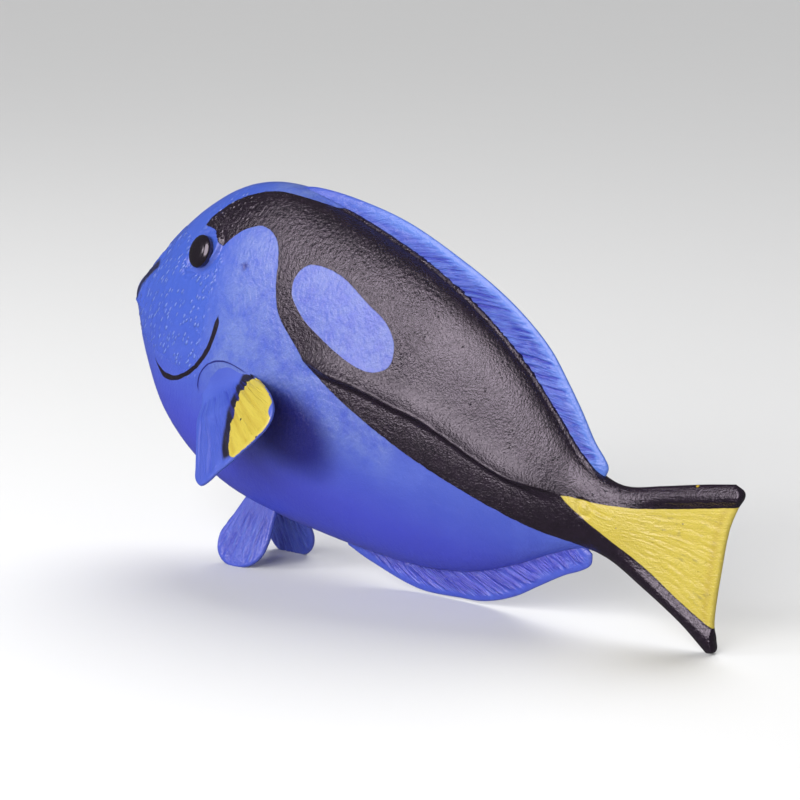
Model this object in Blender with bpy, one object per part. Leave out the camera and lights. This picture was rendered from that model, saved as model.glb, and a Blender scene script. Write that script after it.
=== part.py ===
"""A moulded vinyl figurine of a regal blue tang, nose raised, standing on its fins.

Lengths are millimetres in the fish's own frame: s runs back from the tip of the snout, y runs
across from the mid-plane and h runs up from the long axis. Meshes are made in that frame and
hang from an empty that pitches the fish nose up, so that it stands on its two pelvic fins and
the lower tip of its tail, with the floor at z = 0.
"""
import math

import bmesh
import bpy
from mathutils import Matrix, Vector

MM = 0.001

# Stance: the snout's place over the floor and the nose-up pitch of the whole fish
SNOUT = Vector((-80.8, 0.0, 60.8)) * MM
PITCH = math.radians(14.95)

# Fits between pieces
GAP = 0.3
ROOT_DEPTH = 3.5

# Where the body is parted into head, trunk, tail stalk and caudal fin
NECK_AT = 38.0
STALK_AT = 124.0
CAUDAL_AT = 137.0

# The body's form: s, height of the back, height of the belly, half width
NOSE_AT = 0.8
PROFILE = (
    (0.8, 0.4, 0.4, 0.0),
    (1.6, 3.2, -2.2, 2.4),
    (4.5, 7.6, -6.2, 4.6),
    (10.0, 17.2, -15.8, 7.6),
    (18.0, 27.9, -25.2, 10.9),
    (28.0, 36.3, -31.3, 13.6),
    (40.0, 40.1, -34.9, 15.2),
    (54.0, 39.4, -35.6, 15.5),
    (68.0, 37.6, -34.7, 14.7),
    (82.0, 34.6, -33.2, 12.9),
    (96.0, 29.6, -30.6, 10.5),
    (108.0, 23.4, -26.2, 8.3),
    (118.0, 16.2, -19.8, 6.4),
    (126.0, 10.2, -13.4, 4.9),
    (132.0, 7.6, -9.6, 4.0),
    (138.0, 7.6, -9.2, 3.2),
    (146.0, 10.9, -11.6, 2.6),
    (156.0, 15.6, -15.2, 2.2),
    (163.2, 17.8, -18.9, 2.0),
)
WIDEST_AT = 0.52        # share of the height at which a section is widest
SECTION_POWER = 0.95

# The fold that runs along each flank: s, height of its valley
FOLD_LINE = ((0.8, 0.3), (20.0, 6.0), (45.0, 8.4), (72.0, 8.2), (86.0, 7.2), (94.0, 6.2),
             (107.0, 2.9), (114.0, 1.6), (127.0, 1.2), (137.0, 0.0))
FOLD_FROM = 60.0
FOLD_TO = 127.0
FOLD_DEPTH = 1.1
FOLD_WIDTH = 2.6

# How finely the body is divided
HEAD_RINGS = 15
TRUNK_RINGS = 22
STALK_RINGS = 5
STEPS_ABOVE_FOLD = 10
STEPS_BELOW_FOLD = 10

# Caudal fin: trailing edge as h share (-1 to 1) and s, and its thick rounded lobes
TRAILING_EDGE = ((-1.0, 165.6), (-0.94, 167.2), (-0.84, 166.6), (-0.6, 165.0), (0.0, 163.3),
                 (0.45, 162.5), (0.72, 163.1), (0.9, 163.7), (1.0, 162.2))
CAUDAL_ROWS = 11
CAUDAL_STEPS = 17
LOBE_CENTRE = 0.82
LOBE_REACH = 0.18
LOBE_HALF_THICK = 1.6
MEMBRANE_HALF_THICK = 0.8
CAUDAL_RAY_RISE = 0.25

# Dorsal fin rays: s where the ray leaves the back, then s and h of its tip
DORSAL_RAYS = ((40.5, 41.5, 40.9), (50.0, 52.0, 42.6), (62.0, 67.0, 43.1), (76.0, 86.0, 39.8),
               (90.0, 103.0, 33.9), (104.0, 115.0, 26.6), (116.0, 124.5, 17.8),
               (125.0, 131.0, 12.2), (130.5, 133.4, 9.0))
DORSAL_COUNT = 26
DORSAL_THICK = 2.6

# Anal fin rays, stated in the same way from the belly
ANAL_RAYS = ((73.0, 74.5, -35.2), (77.0, 81.0, -36.2), (84.0, 95.0, -36.8), (90.0, 106.0, -34.0),
             (98.0, 112.5, -31.8), (107.0, 119.0, -27.6), (115.0, 124.5, -22.2),
             (123.0, 130.0, -16.9), (131.0, 135.2, -10.8))
ANAL_COUNT = 20
ANAL_THICK = 2.4

# Pectoral fin: its base on the flank, its plane, and its outline in that plane
PECTORAL_BASE = Vector((40.9, 14.8, -6.1))
PECTORAL_ALONG = Vector((0.716, 0.0, 0.698))
PECTORAL_OUT = Vector((0.609, 0.487, -0.625))
PECTORAL_ROOT_HALF = 7.8
PECTORAL_OUTLINE = ((-9.0, 18.5), (-8.2, 22.2), (-3.5, 22.0), (1.0, 21.3), (6.0, 20.2),
                    (11.7, 18.4), (15.4, 16.6), (17.2, 13.2), (16.2, 9.4), (13.6, 5.2),
                    (10.6, 2.6))
PECTORAL_COUNT = 11
PECTORAL_THICK = 2.2
PECTORAL_CUP = 1.2

# Pelvic fins: base on the belly, and the outline of one paddle as (across, along)
PELVIC_BASE = Vector((51.2, 3.4, -34.4))
PELVIC_TIPS = {"left": Vector((51.4, -8.9, -49.6)), "right": Vector((57.2, 8.9, -48.0))}
PELVIC_ROOT_HALF = 3.9
PELVIC_OUTLINE = ((-6.7, 7.0), (-6.6, 11.0), (-5.0, 14.4), (-2.6, 15.9), (0.0, 16.4),
                  (2.6, 15.9), (5.0, 14.4), (6.6, 11.0), (6.7, 7.0))
PELVIC_COUNT = 7
PELVIC_THICK = 2.3

# Eyes
EYE_AT = 24.5
EYE_HEIGHT = 20.1
EYE_RADIUS = 3.85
EYE_RISE = 2.3
EYE_SINK = 0.5
RING_RADIUS = 4.45
RING_TUBE = 0.6

# Snout
LIPS_AT = Vector((2.0, 0.0, 0.4))
LIPS_RADII = Vector((2.2, 3.0, 4.4))
MOUTH_AT = Vector((-0.6, 0.0, -0.6))
MOUTH_SIZE = Vector((2.4, 5.6, 0.5))

# Painted colours: red, green, blue and roughness
BLUE = (0.07, 0.11, 0.60, 0.45)
BLACK = (0.02, 0.015, 0.025, 0.40)
YELLOW = (0.75, 0.62, 0.10, 0.45)
EYE_BLACK = (0.005, 0.005, 0.006, 0.10)


def clear_scene():
    """Remove the objects that a new file opens with."""
    for item in list(bpy.data.objects):
        bpy.data.objects.remove(item, do_unlink=True)


def smooth_step(x):
    """An S-curve from 0 to 1."""
    x = min(1.0, max(0.0, x))
    return x * x * (3.0 - 2.0 * x)


def read_curve(rows, x):
    """The values at x on the smooth curve through rows of (x, value, value, ...)."""
    last = len(rows) - 1
    k = 1
    while k < last and rows[k][0] < x:
        k += 1
    low, high = rows[k - 1], rows[k]
    before, after = rows[max(k - 2, 0)], rows[min(k + 1, last)]
    span = high[0] - low[0]
    u = (x - low[0]) / span
    values = []
    for i in range(1, len(low)):
        slope_low = (high[i] - before[i]) / (high[0] - before[0]) * span
        slope_high = (after[i] - low[i]) / (after[0] - low[0]) * span
        values.append((2 * u ** 3 - 3 * u ** 2 + 1) * low[i] + (u ** 3 - 2 * u ** 2 + u) * slope_low
                      + (3 * u ** 2 - 2 * u ** 3) * high[i] + (u ** 3 - u ** 2) * slope_high)
    return values


def read_outline(points, share):
    """The point at a share, 0 to 1, of the way along a smooth outline through points."""
    rows = [(i / (len(points) - 1), *p) for i, p in enumerate(points)]
    return read_curve(rows, share)


def profile(s):
    """Back height, belly height and half width at s, rounded at the nose."""
    rows = [(math.sqrt(row[0] - NOSE_AT), *row[1:]) for row in PROFILE]
    return read_curve(rows, math.sqrt(max(0.0, s - NOSE_AT)))


def flank_point(s, angle):
    """The point of the right flank at an angle from the back (0) to the belly (pi)."""
    top, bottom, width = profile(s)
    mid = bottom + WIDEST_AT * (top - bottom)
    reach = top - mid if angle < math.pi / 2 else mid - bottom
    y = width * max(0.0, math.sin(angle)) ** SECTION_POWER
    return Vector((s, y, mid + reach * math.cos(angle)))


def flank_angle(s, h):
    """The angle at which the flank has height h."""
    top, bottom, _ = profile(s)
    mid = bottom + WIDEST_AT * (top - bottom)
    reach = top - mid if h > mid else mid - bottom
    return math.acos(max(-1.0, min(1.0, (h - mid) / reach)))


def flank_normal(s, angle):
    """The outward direction of the right flank."""
    step = 0.05
    along = flank_point(s + step, angle) - flank_point(s - step, angle)
    around = flank_point(s, angle + step) - flank_point(s, angle - step)
    return around.cross(along).normalized()


def body_ring(s):
    """One closed ring of the body at s, with the fold's valley and ridge pressed into it."""
    valley_height = read_curve(FOLD_LINE, s)[0]
    valley = flank_angle(s, valley_height)
    ridge = flank_angle(s, valley_height - FOLD_WIDTH)
    if s < FOLD_FROM:
        ridge = valley + (math.pi - valley) / (STEPS_BELOW_FOLD + 1)
    share = (s - FOLD_FROM) / (FOLD_TO - FOLD_FROM)
    depth = FOLD_DEPTH * smooth_step(4 * share) * smooth_step(4 * (1 - share))
    angles = [valley * i / STEPS_ABOVE_FOLD for i in range(STEPS_ABOVE_FOLD + 1)]
    angles += [ridge + (math.pi - ridge) * i / STEPS_BELOW_FOLD for i in range(STEPS_BELOW_FOLD + 1)]
    side = [flank_point(s, angle) for angle in angles]
    side[STEPS_ABOVE_FOLD].y -= depth
    side[STEPS_ABOVE_FOLD + 1].y += 0.35 * depth
    other = [Vector((p.x, -p.y, p.z)) for p in side[-2:0:-1]]
    return side + other


def new_mesh_object(name, bm, collection, paint=None):
    """Turn a bmesh in millimetres into an object that hangs from the pitched empty."""
    bmesh.ops.scale(bm, vec=(MM, MM, MM), verts=bm.verts)
    bmesh.ops.recalc_face_normals(bm, faces=bm.faces)
    mesh = bpy.data.meshes.new(name)
    bm.to_mesh(mesh)
    bm.free()
    item = bpy.data.objects.new(name, mesh)
    collection.objects.link(item)
    item.parent = bpy.data.objects["fish_frame"]
    if paint is None:
        item.hide_render = True
        item.display_type = "WIRE"
    else:
        mesh.materials.append(paint)
        mesh.shade_smooth()
        mesh.set_sharp_from_angle(angle=math.radians(50))
    return item


def loft(rings, tip=None):
    """A closed bmesh through rings of equal length; tip is a single point before the first."""
    bm = bmesh.new()
    rows = [[bm.verts.new(p) for p in ring] for ring in rings]
    count = len(rows[0])
    for near, far in zip(rows, rows[1:]):
        for i in range(count):
            j = (i + 1) % count
            bm.faces.new((near[i], near[j], far[j], far[i]))
    if tip is None:
        bm.faces.new(list(reversed(rows[0])))
    else:
        point = bm.verts.new(tip)
        for i in range(count):
            bm.faces.new((point, rows[0][(i + 1) % count], rows[0][i]))
    bm.faces.new(rows[-1])
    return bm


def evenly(first, last, count):
    """Count values from first to last."""
    return [first + (last - first) * i / (count - 1) for i in range(count)]


def head_stations():
    """Stations of the head, close together at the snout."""
    ends = math.sqrt(0.25), math.sqrt(NECK_AT - GAP / 2 - NOSE_AT)
    return [NOSE_AT + q * q for q in evenly(*ends, HEAD_RINGS)]


def trunk_stations():
    """Stations of the trunk."""
    return evenly(NECK_AT + GAP / 2, STALK_AT - GAP / 2, TRUNK_RINGS)


def stalk_stations():
    """Stations of the tail stalk."""
    return evenly(STALK_AT + GAP / 2, CAUDAL_AT - GAP / 2, STALK_RINGS)


def cut(item, cutter, operation="DIFFERENCE"):
    """Cut one object with another, or join it."""
    modifier = item.modifiers.new(operation.lower(), "BOOLEAN")
    modifier.operation = operation
    modifier.solver = "EXACT"
    modifier.object = cutter


def paint(name, values):
    """A painted vinyl finish."""
    material = bpy.data.materials.new(name)
    material.use_nodes = True
    shader = material.node_tree.nodes["Principled BSDF"]
    shader.inputs["Base Color"].default_value = (*values[:3], 1.0)
    shader.inputs["Roughness"].default_value = values[3]
    shader.inputs["Metallic"].default_value = 0.0
    return material


def make_head(parts, tools, finish):
    """The head, with its lips, mouth slit and the groove round each eye."""
    nose = Vector((NOSE_AT, 0.0, PROFILE[0][1]))
    head = new_mesh_object("head", loft([body_ring(s) for s in head_stations()], nose), parts,
                           finish["blue"])
    lips = bmesh.new()
    bmesh.ops.create_uvsphere(lips, u_segments=16, v_segments=10, radius=1.0)
    bmesh.ops.scale(lips, vec=LIPS_RADII, verts=lips.verts)
    bmesh.ops.translate(lips, vec=LIPS_AT, verts=lips.verts)
    cut(head, new_mesh_object("lips_form", lips, tools), "UNION")
    mouth = bmesh.new()
    bmesh.ops.create_cube(mouth, size=1.0)
    bmesh.ops.scale(mouth, vec=MOUTH_SIZE, verts=mouth.verts)
    bmesh.ops.translate(mouth, vec=MOUTH_AT, verts=mouth.verts)
    cut(head, new_mesh_object("mouth_cutter", mouth, tools))
    for side, sign in (("left", -1.0), ("right", 1.0)):
        cut(head, make_ring_cutter(side, sign, tools))
    return head


def eye_place(sign):
    """Where an eye sits on the head and how it is turned, as a matrix in metres."""
    angle = flank_angle(EYE_AT, EYE_HEIGHT)
    centre = flank_point(EYE_AT, angle)
    outward = flank_normal(EYE_AT, angle)
    centre.y *= sign
    outward.y *= sign
    turn = outward.to_track_quat("Z", "Y").to_matrix().to_4x4()
    return Matrix.Translation(centre * MM) @ turn


def make_ring_cutter(side, sign, tools):
    """A torus that presses the groove round an eye."""
    bpy.ops.mesh.primitive_torus_add(major_segments=20, minor_segments=6,
                                     major_radius=RING_RADIUS * MM, minor_radius=RING_TUBE * MM)
    ring = bpy.context.object
    ring.name = f"eye_ring_cutter_{side}"
    for collection in list(ring.users_collection):
        collection.objects.unlink(ring)
    tools.objects.link(ring)
    ring.parent = bpy.data.objects["fish_frame"]
    ring.matrix_local = eye_place(sign)
    ring.hide_render = True
    ring.display_type = "WIRE"
    return ring


def make_eye(side, sign, parts, clearance, finish):
    """A glossy dome seated on the head."""
    dome = bmesh.new()
    bmesh.ops.create_uvsphere(dome, u_segments=20, v_segments=12, radius=1.0)
    bmesh.ops.scale(dome, vec=(EYE_RADIUS, EYE_RADIUS, EYE_RISE + EYE_SINK), verts=dome.verts)
    bmesh.ops.translate(dome, vec=(0.0, 0.0, -EYE_SINK), verts=dome.verts)
    eye = new_mesh_object(f"eye_{side}", dome, parts, finish["eye"])
    eye.matrix_local = eye_place(sign)
    cut(eye, clearance)
    return eye


def make_clearance(tools):
    """The whole body grown by the gap, which trims every fin and eye to the body's surface."""
    stations = head_stations() + trunk_stations() + stalk_stations()
    bm = loft([body_ring(s) for s in stations], Vector((NOSE_AT, 0.0, PROFILE[0][1])))
    bmesh.ops.recalc_face_normals(bm, faces=bm.faces)
    bm.normal_update()
    moves = [(vert, vert.normal * GAP) for vert in bm.verts]
    for vert, move in moves:
        vert.co += move
    return new_mesh_object("body_clearance", bm, tools)


def make_floor(tools):
    """A block whose top is the floor, which flattens what the fish stands on."""
    bm = bmesh.new()
    bmesh.ops.create_cube(bm, size=1.0)
    bmesh.ops.scale(bm, vec=(300.0, 120.0, 20.0), verts=bm.verts)
    bmesh.ops.translate(bm, vec=(0.0, 0.0, -10.0), verts=bm.verts)
    floor = new_mesh_object("floor_cutter", bm, tools)
    floor.parent = None
    return floor


def blade(root, tip, across, count, rows, thick, rise=0.25, cup=0.0):
    """A fin as a closed plate, with a ray raised on both faces in every other column.

    root(a) and tip(a) give the ends of the ray at a, 0 to 1 along the fin, and across is the
    plate's direction of thickness. The plate thins to its tips, and cup bows it out of plane.
    """
    bm = bmesh.new()
    columns = 2 * count + 1
    faces = {1: [], -1: []}
    for i in range(columns):
        a = i / (columns - 1)
        start, end = root(a), tip(a)
        raised = rise if i % 2 else 0.0
        at_side = 0.55 if i in (0, columns - 1) else 1.0
        front, back = [], []
        for j in range(rows + 1):
            b = j / rows
            half = 0.5 * (thick * (1.0 - 0.42 * b) + raised * math.sin(math.pi * b))
            if j == rows:
                half *= 0.6
            middle = start.lerp(end, b) + across * cup * math.sin(math.pi * a) * b * b
            front.append(bm.verts.new(middle + across * half * at_side))
            back.append(bm.verts.new(middle - across * half * at_side))
        faces[1].append(front)
        faces[-1].append(back)
    for side, grid in faces.items():
        for i in range(columns - 1):
            for j in range(rows):
                a, b, c, d = grid[i][j], grid[i + 1][j], grid[i + 1][j + 1], grid[i][j + 1]
                bm.faces.new((a, b, c)[::side])
                bm.faces.new((a, c, d)[::side])
    front, back = faces[1], faces[-1]
    for i in range(columns - 1):
        bm.faces.new((front[i][0], front[i + 1][0], back[i + 1][0], back[i][0])[::-1])
        bm.faces.new((front[i][-1], front[i + 1][-1], back[i + 1][-1], back[i][-1]))
    for j in range(rows):
        bm.faces.new((front[0][j], front[0][j + 1], back[0][j + 1], back[0][j]))
        bm.faces.new((front[-1][j], front[-1][j + 1], back[-1][j + 1], back[-1][j])[::-1])
    return bm


def make_midline_fin(name, rays, on_back, count, thick, parts, clearance, finish):
    """The dorsal or the anal fin, on the mid-plane, its rays raked back."""
    first, last = rays[0][0], rays[-1][0]

    def base_and_tip(a):
        base_s = first + (last - first) * a
        top, bottom, _ = profile(base_s)
        tip_s, tip_h = read_curve(rays, base_s)
        base = Vector((base_s, 0.0, top if on_back else bottom))
        return base, Vector((tip_s, 0.0, tip_h))

    def root(a):
        base, _ = base_and_tip(a)
        inward = -1.0 if on_back else 1.0
        return base + Vector((0.0, 0.0, inward * ROOT_DEPTH))

    def tip(a):
        return base_and_tip(a)[1]

    fin = new_mesh_object(name, blade(root, tip, Vector((0, 1, 0)), count, 5, thick), parts,
                          finish["blue"])
    cut(fin, clearance)
    return fin


def make_pectoral_fin(side, sign, parts, clearance, finish):
    """A fan that stands out from the flank, its leading edge down and its back edge free."""
    flip = Matrix.Diagonal((1.0, sign, 1.0))
    along = flip @ PECTORAL_ALONG.normalized()
    out = flip @ PECTORAL_OUT.normalized()
    base = flip @ PECTORAL_BASE
    across = along.cross(out).normalized()
    if across.y * sign < 0:
        across.negate()

    def root(a):
        return base + along * PECTORAL_ROOT_HALF * (2 * a - 1) - out * ROOT_DEPTH

    def tip(a):
        u, v = read_outline(PECTORAL_OUTLINE, a)
        return base + along * u + out * v

    fan = blade(root, tip, across, PECTORAL_COUNT, 6, PECTORAL_THICK, cup=PECTORAL_CUP)
    fin = new_mesh_object(f"pectoral_fin_{side}", fan, parts, finish["blue"])
    cut(fin, clearance)
    return fin


def make_pelvic_fin(side, sign, parts, clearance, floor, finish):
    """A paddle splayed out from the belly, its tip flat on the floor."""
    base = Vector((PELVIC_BASE.x, PELVIC_BASE.y * sign, PELVIC_BASE.z))
    out = (PELVIC_TIPS[side] - base).normalized()
    along = Vector((math.cos(PITCH), 0.0, math.sin(PITCH)))
    along = (along - out * along.dot(out)).normalized()
    across = along.cross(out).normalized()

    def root(a):
        return base + along * PELVIC_ROOT_HALF * (2 * a - 1) - out * ROOT_DEPTH

    def tip(a):
        u, v = read_outline(PELVIC_OUTLINE, a)
        return base + along * u + out * v

    paddle = blade(root, tip, across, PELVIC_COUNT, 6, PELVIC_THICK)
    fin = new_mesh_object(f"pelvic_fin_{side}", paddle, parts, finish["blue"])
    cut(fin, clearance)
    cut(fin, floor)
    return fin


def make_caudal_fin(parts, floor, finish):
    """The forked tail, from the oval end of its stalk to a ribbed membrane between two lobes."""
    start = CAUDAL_AT + GAP / 2
    nominal_end = PROFILE[-1][0]
    rings = []
    for row in range(CAUDAL_ROWS + 1):
        u = row / CAUDAL_ROWS
        top, bottom, width = profile(start + u * (nominal_end - start))
        side = []
        for i in range(CAUDAL_STEPS + 1):
            angle = math.pi * i / CAUDAL_STEPS
            share = math.cos(angle)
            mid = bottom + WIDEST_AT * (top - bottom)
            h = mid + (top - mid if share > 0 else mid - bottom) * share
            trailing = read_curve(TRAILING_EDGE, share)[0]
            oval = width * max(0.0, math.sin(angle)) ** SECTION_POWER
            fan = caudal_half_thickness(share, i % 2 == 1)
            y = oval + (fan - oval) * smooth_step(u * 1.7)
            if row == CAUDAL_ROWS:
                y *= 0.6
            side.append(Vector((start + u * (trailing - start), y, h)))
        rings.append(side + [Vector((p.x, -p.y, p.z)) for p in side[-2:0:-1]])
    fin = new_mesh_object("caudal_fin", loft_with_seam(rings), parts, finish["yellow"])
    cut(fin, floor)
    return fin


def caudal_half_thickness(share, on_ray):
    """Half the caudal fin's thickness at a share of its height, -1 to 1."""
    offset = (abs(share) - LOBE_CENTRE) / LOBE_REACH
    lobe = LOBE_HALF_THICK * math.sqrt(max(0.0, 1.0 - offset * offset))
    rise = CAUDAL_RAY_RISE if on_ray else 0.0
    membrane = MEMBRANE_HALF_THICK + rise if abs(share) < LOBE_CENTRE else 0.0
    return max(lobe, membrane)


def loft_with_seam(rings):
    """A loft whose last ring is closed by a strip between its two faces, as it isn't flat."""
    bm = loft(rings)
    bm.faces.ensure_lookup_table()
    bmesh.ops.delete(bm, geom=[bm.faces[-1]], context="FACES_ONLY")
    bm.verts.ensure_lookup_table()
    count = len(rings[0])
    last = bm.verts[:][-count:]
    half = count // 2
    for i in range(half):
        near = last[i], last[i + 1]
        far = last[(count - i) % count], last[count - i - 1]
        ring = [near[0], near[1], far[1], far[0]]
        corners = [v for k, v in enumerate(ring) if v not in ring[:k]]
        bm.faces.new(corners)
    return bm


def build():
    """Make every piece of the figurine."""
    clear_scene()
    parts = bpy.data.collections.new("blue_tang_figurine")
    tools = bpy.data.collections.new("cutters")
    for collection in (parts, tools):
        bpy.context.scene.collection.children.link(collection)
    frame = bpy.data.objects.new("fish_frame", None)
    frame.location = SNOUT
    frame.rotation_euler = (0.0, PITCH, 0.0)
    tools.objects.link(frame)
    bpy.context.view_layer.update()

    finish = {"blue": paint("blue_paint", BLUE), "black": paint("black_paint", BLACK),
              "yellow": paint("yellow_paint", YELLOW), "eye": paint("eye_gloss", EYE_BLACK)}
    clearance = make_clearance(tools)
    floor = make_floor(tools)

    make_head(parts, tools, finish)
    new_mesh_object("trunk", loft([body_ring(s) for s in trunk_stations()]), parts,
                    finish["black"])
    new_mesh_object("tail_stalk", loft([body_ring(s) for s in stalk_stations()]), parts,
                    finish["black"])
    make_caudal_fin(parts, floor, finish)
    make_midline_fin("dorsal_fin", DORSAL_RAYS, True, DORSAL_COUNT, DORSAL_THICK, parts,
                     clearance, finish)
    make_midline_fin("anal_fin", ANAL_RAYS, False, ANAL_COUNT, ANAL_THICK, parts, clearance,
                     finish)
    for side, sign in (("left", -1.0), ("right", 1.0)):
        make_pectoral_fin(side, sign, parts, clearance, finish)
        make_pelvic_fin(side, sign, parts, clearance, floor, finish)
        make_eye(side, sign, parts, clearance, finish)


build()
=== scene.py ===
"""Looks of a painted vinyl regal blue tang figurine, laid out as a Blender add-on.

One skin stands for the head, trunk, tail stalk and caudal fin, and the other fins and the eyes are
pieces of their own. Sizes in capitals are millimetres in the fish's own frame: s runs back from the
snout, y across from the mid-plane and h up from the long axis. The row frame is in metres.
"""
import math

import bmesh
import bpy
import numpy as np
from bpy.props import FloatProperty, FloatVectorProperty, IntProperty, PointerProperty
from mathutils import Matrix, Vector


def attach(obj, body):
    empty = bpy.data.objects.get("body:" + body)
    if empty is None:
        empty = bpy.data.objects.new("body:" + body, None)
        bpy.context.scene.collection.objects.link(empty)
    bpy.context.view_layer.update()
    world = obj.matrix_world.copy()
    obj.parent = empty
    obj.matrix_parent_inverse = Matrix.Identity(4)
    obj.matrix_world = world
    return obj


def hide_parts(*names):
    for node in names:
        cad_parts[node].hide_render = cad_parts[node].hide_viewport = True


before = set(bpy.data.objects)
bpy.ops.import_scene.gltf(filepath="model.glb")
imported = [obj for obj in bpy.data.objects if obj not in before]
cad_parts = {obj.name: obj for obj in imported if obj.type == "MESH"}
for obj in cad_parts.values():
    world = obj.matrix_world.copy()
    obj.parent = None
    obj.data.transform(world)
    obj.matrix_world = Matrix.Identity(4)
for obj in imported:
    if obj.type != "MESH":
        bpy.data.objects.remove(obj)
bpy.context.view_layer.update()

bl_info = {
    "name": "Blue tang figurine",
    "version": (1, 0, 0),
    "blender": (4, 5, 0),
    "location": "View3D > Sidebar > Blue tang",
    "description": "Makes the painted skin, fins, eyes and studio of a blue tang figurine",
    "category": "Object",
}

MM = 0.001
BODY = "root"
SIDES = (("left", -1.0), ("right", 1.0))

# Stance: the snout's place over the floor and the nose-up pitch of the whole fish
SNOUT = Vector((-80.8, 0.0, 60.8))
PITCH = math.radians(14.95)

# The clear coat of the paint reflects a little less green
SPECULAR_TINT = (1.0, 0.86, 1.0, 1.0)

# The body's form: s, height of the back, height of the belly, half width
NOSE_AT = 1.1
PROFILE = (
    (1.1, 0.3, 0.3, 0.0), (1.7, 3.2, -2.4, 2.2), (4.5, 7.6, -6.2, 4.6), (10.0, 17.2, -15.8, 7.6),
    (18.0, 27.9, -25.2, 10.9), (28.0, 36.3, -31.3, 13.6), (40.0, 40.1, -34.9, 15.2),
    (54.0, 39.4, -35.6, 15.5), (68.0, 37.6, -34.7, 14.7), (82.0, 34.6, -33.2, 12.9),
    (96.0, 29.6, -30.6, 10.5), (108.0, 23.4, -26.2, 8.3), (118.0, 16.2, -19.8, 6.4),
    (126.0, 10.2, -13.4, 4.9), (132.0, 7.6, -9.6, 4.0), (138.0, 7.6, -9.2, 3.2),
    (146.0, 10.9, -11.6, 2.6), (156.0, 15.3, -15.2, 2.2), (163.2, 18.2, -18.9, 2.0),
)
WIDEST_AT = 0.52
SECTION_POWER = 0.95

# Lips: place of their middle, half length, half height, half width
LIPS_AT = (2.3, 0.3)
LIPS_REACH = 1.2
LIPS_HALF_HEIGHT = 3.5
LIPS_HALF_WIDTH = 2.3
LIPS_BLEND = 0.35
MOUTH_HEIGHT = -1.0
# Path of the painted shade along the front of the snout above the lips, as (s, h)
LIP_SHADE = ((2.6, -0.5), (3.4, 1.8), (4.2, 4.6), (6.5, 7.3), (9.2, 10.4))

# Rings of the skin: up to s, at this spacing; then the tail's own rows
RING_SPACING = ((4.0, 0.3), (36.0, 0.36), (124.0, 0.84), (137.0, 0.5))
TAIL_ROWS = 64
HALF_COLUMNS = 158
COLUMN_WARP = 0.1

# The fold along each flank: s and height of its valley, where it starts and ends, its sides as shares of
# the depth with their reach (above) or start and end (below), and the ridge under it
FOLD_LINE = ((1.1, 0.3), (20.0, 6.0), (45.0, 8.4), (72.0, 8.2), (86.0, 7.2), (94.0, 6.2),
             (107.0, 2.9), (114.0, 1.6), (127.0, 1.2), (137.0, 0.0))
FOLD_FROM = 58.0
FOLD_TO = 127.0
FOLD_ABOVE = ((0.55, 5.5), (0.45, 1.9))
FOLD_BELOW = ((0.76, 0.0, 0.8), (0.24, 0.6, 2.4))
FOLD_RIDGE = 0.12

# Caudal fin: trailing edge as h share (-1 to 1) and s, and its thicknesses
CAUDAL_AT = 137.0
TRAILING_EDGE = ((-1.0, 165.6), (-0.94, 167.2), (-0.84, 166.6), (-0.6, 165.0), (0.0, 163.3),
                 (0.45, 162.5), (0.72, 162.9), (0.88, 163.5), (0.96, 162.9), (1.0, 161.0))
LOBE_HALF_THICK = 1.6
MEMBRANE_HALF_THICK = 0.8
LOBE_RIM = 1.7
EDGE_ROUND = 0.9

# Painted outlines on the flank as (s, h)
BLACK_FRONT = (
    (22.6, 25.2), (26.0, 25.7), (28.3, 24.9), (29.7, 23.8), (30.9, 23.7), (32.3, 25.4),
    (34.6, 28.4), (38.3, 30.9), (40.9, 31.4), (43.4, 30.8), (45.7, 29.0), (47.5, 25.5),
    (48.6, 22.0), (50.2, 18.4), (51.9, 15.6), (55.0, 13.0), (58.6, 10.4), (63.0, 7.4),
    (68.0, 4.8), (76.3, 1.5), (85.7, -1.6), (94.6, -4.1), (103.4, -5.9), (112.1, -7.4),
    (122.4, -8.5), (130.2, -8.4), (134.5, -9.0),
)
# The black's upper edge on the nape as s and the distance down from the ridge of the back
BLACK_NAPE = ((22.6, 11.6), (23.3, 10.0), (26.4, 8.1), (30.1, 6.6), (36.8, 4.6), (42.2, 4.0),
              (46.0, 3.3), (50.4, 2.2), (56.0, 0.6))
OVAL = ((56.3, 28.4), (60.5, 28.7), (65.1, 27.9), (71.6, 25.2), (77.4, 22.8), (81.0, 19.1),
        (81.7, 14.5), (78.8, 12.1), (74.9, 11.8), (70.0, 12.8), (63.2, 14.9), (58.7, 16.7),
        (54.3, 20.0), (53.1, 22.3), (53.0, 24.8), (54.2, 27.2))
YELLOW_UPPER = ((125.7, 1.2), (128.3, 1.8), (133.7, 2.5), (139.7, 4.0), (143.5, 5.2),
                (151.4, 8.5), (160.0, 12.5), (164.5, 14.6))
YELLOW_LOWER = ((125.7, 1.2), (127.9, 0.0), (131.6, -1.6), (136.9, -3.5), (144.0, -5.8),
                (149.5, -7.8), (155.2, -10.0), (159.6, -11.4), (164.0, -12.6))
SMILE = ((36.0, 9.3), (35.9, 5.5), (34.9, 0.4), (32.8, -3.8), (29.9, -7.6), (25.5, -11.2),
         (21.3, -12.4), (18.7, -11.7), (16.9, -10.7), (15.7, -9.3))
PLUG_SEAM = ((34.0, -11.4), (33.5, -8.8), (34.2, -5.5), (36.6, -2.4), (39.5, -0.7),
             (42.7, -0.1), (47.8, -0.5))

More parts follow.
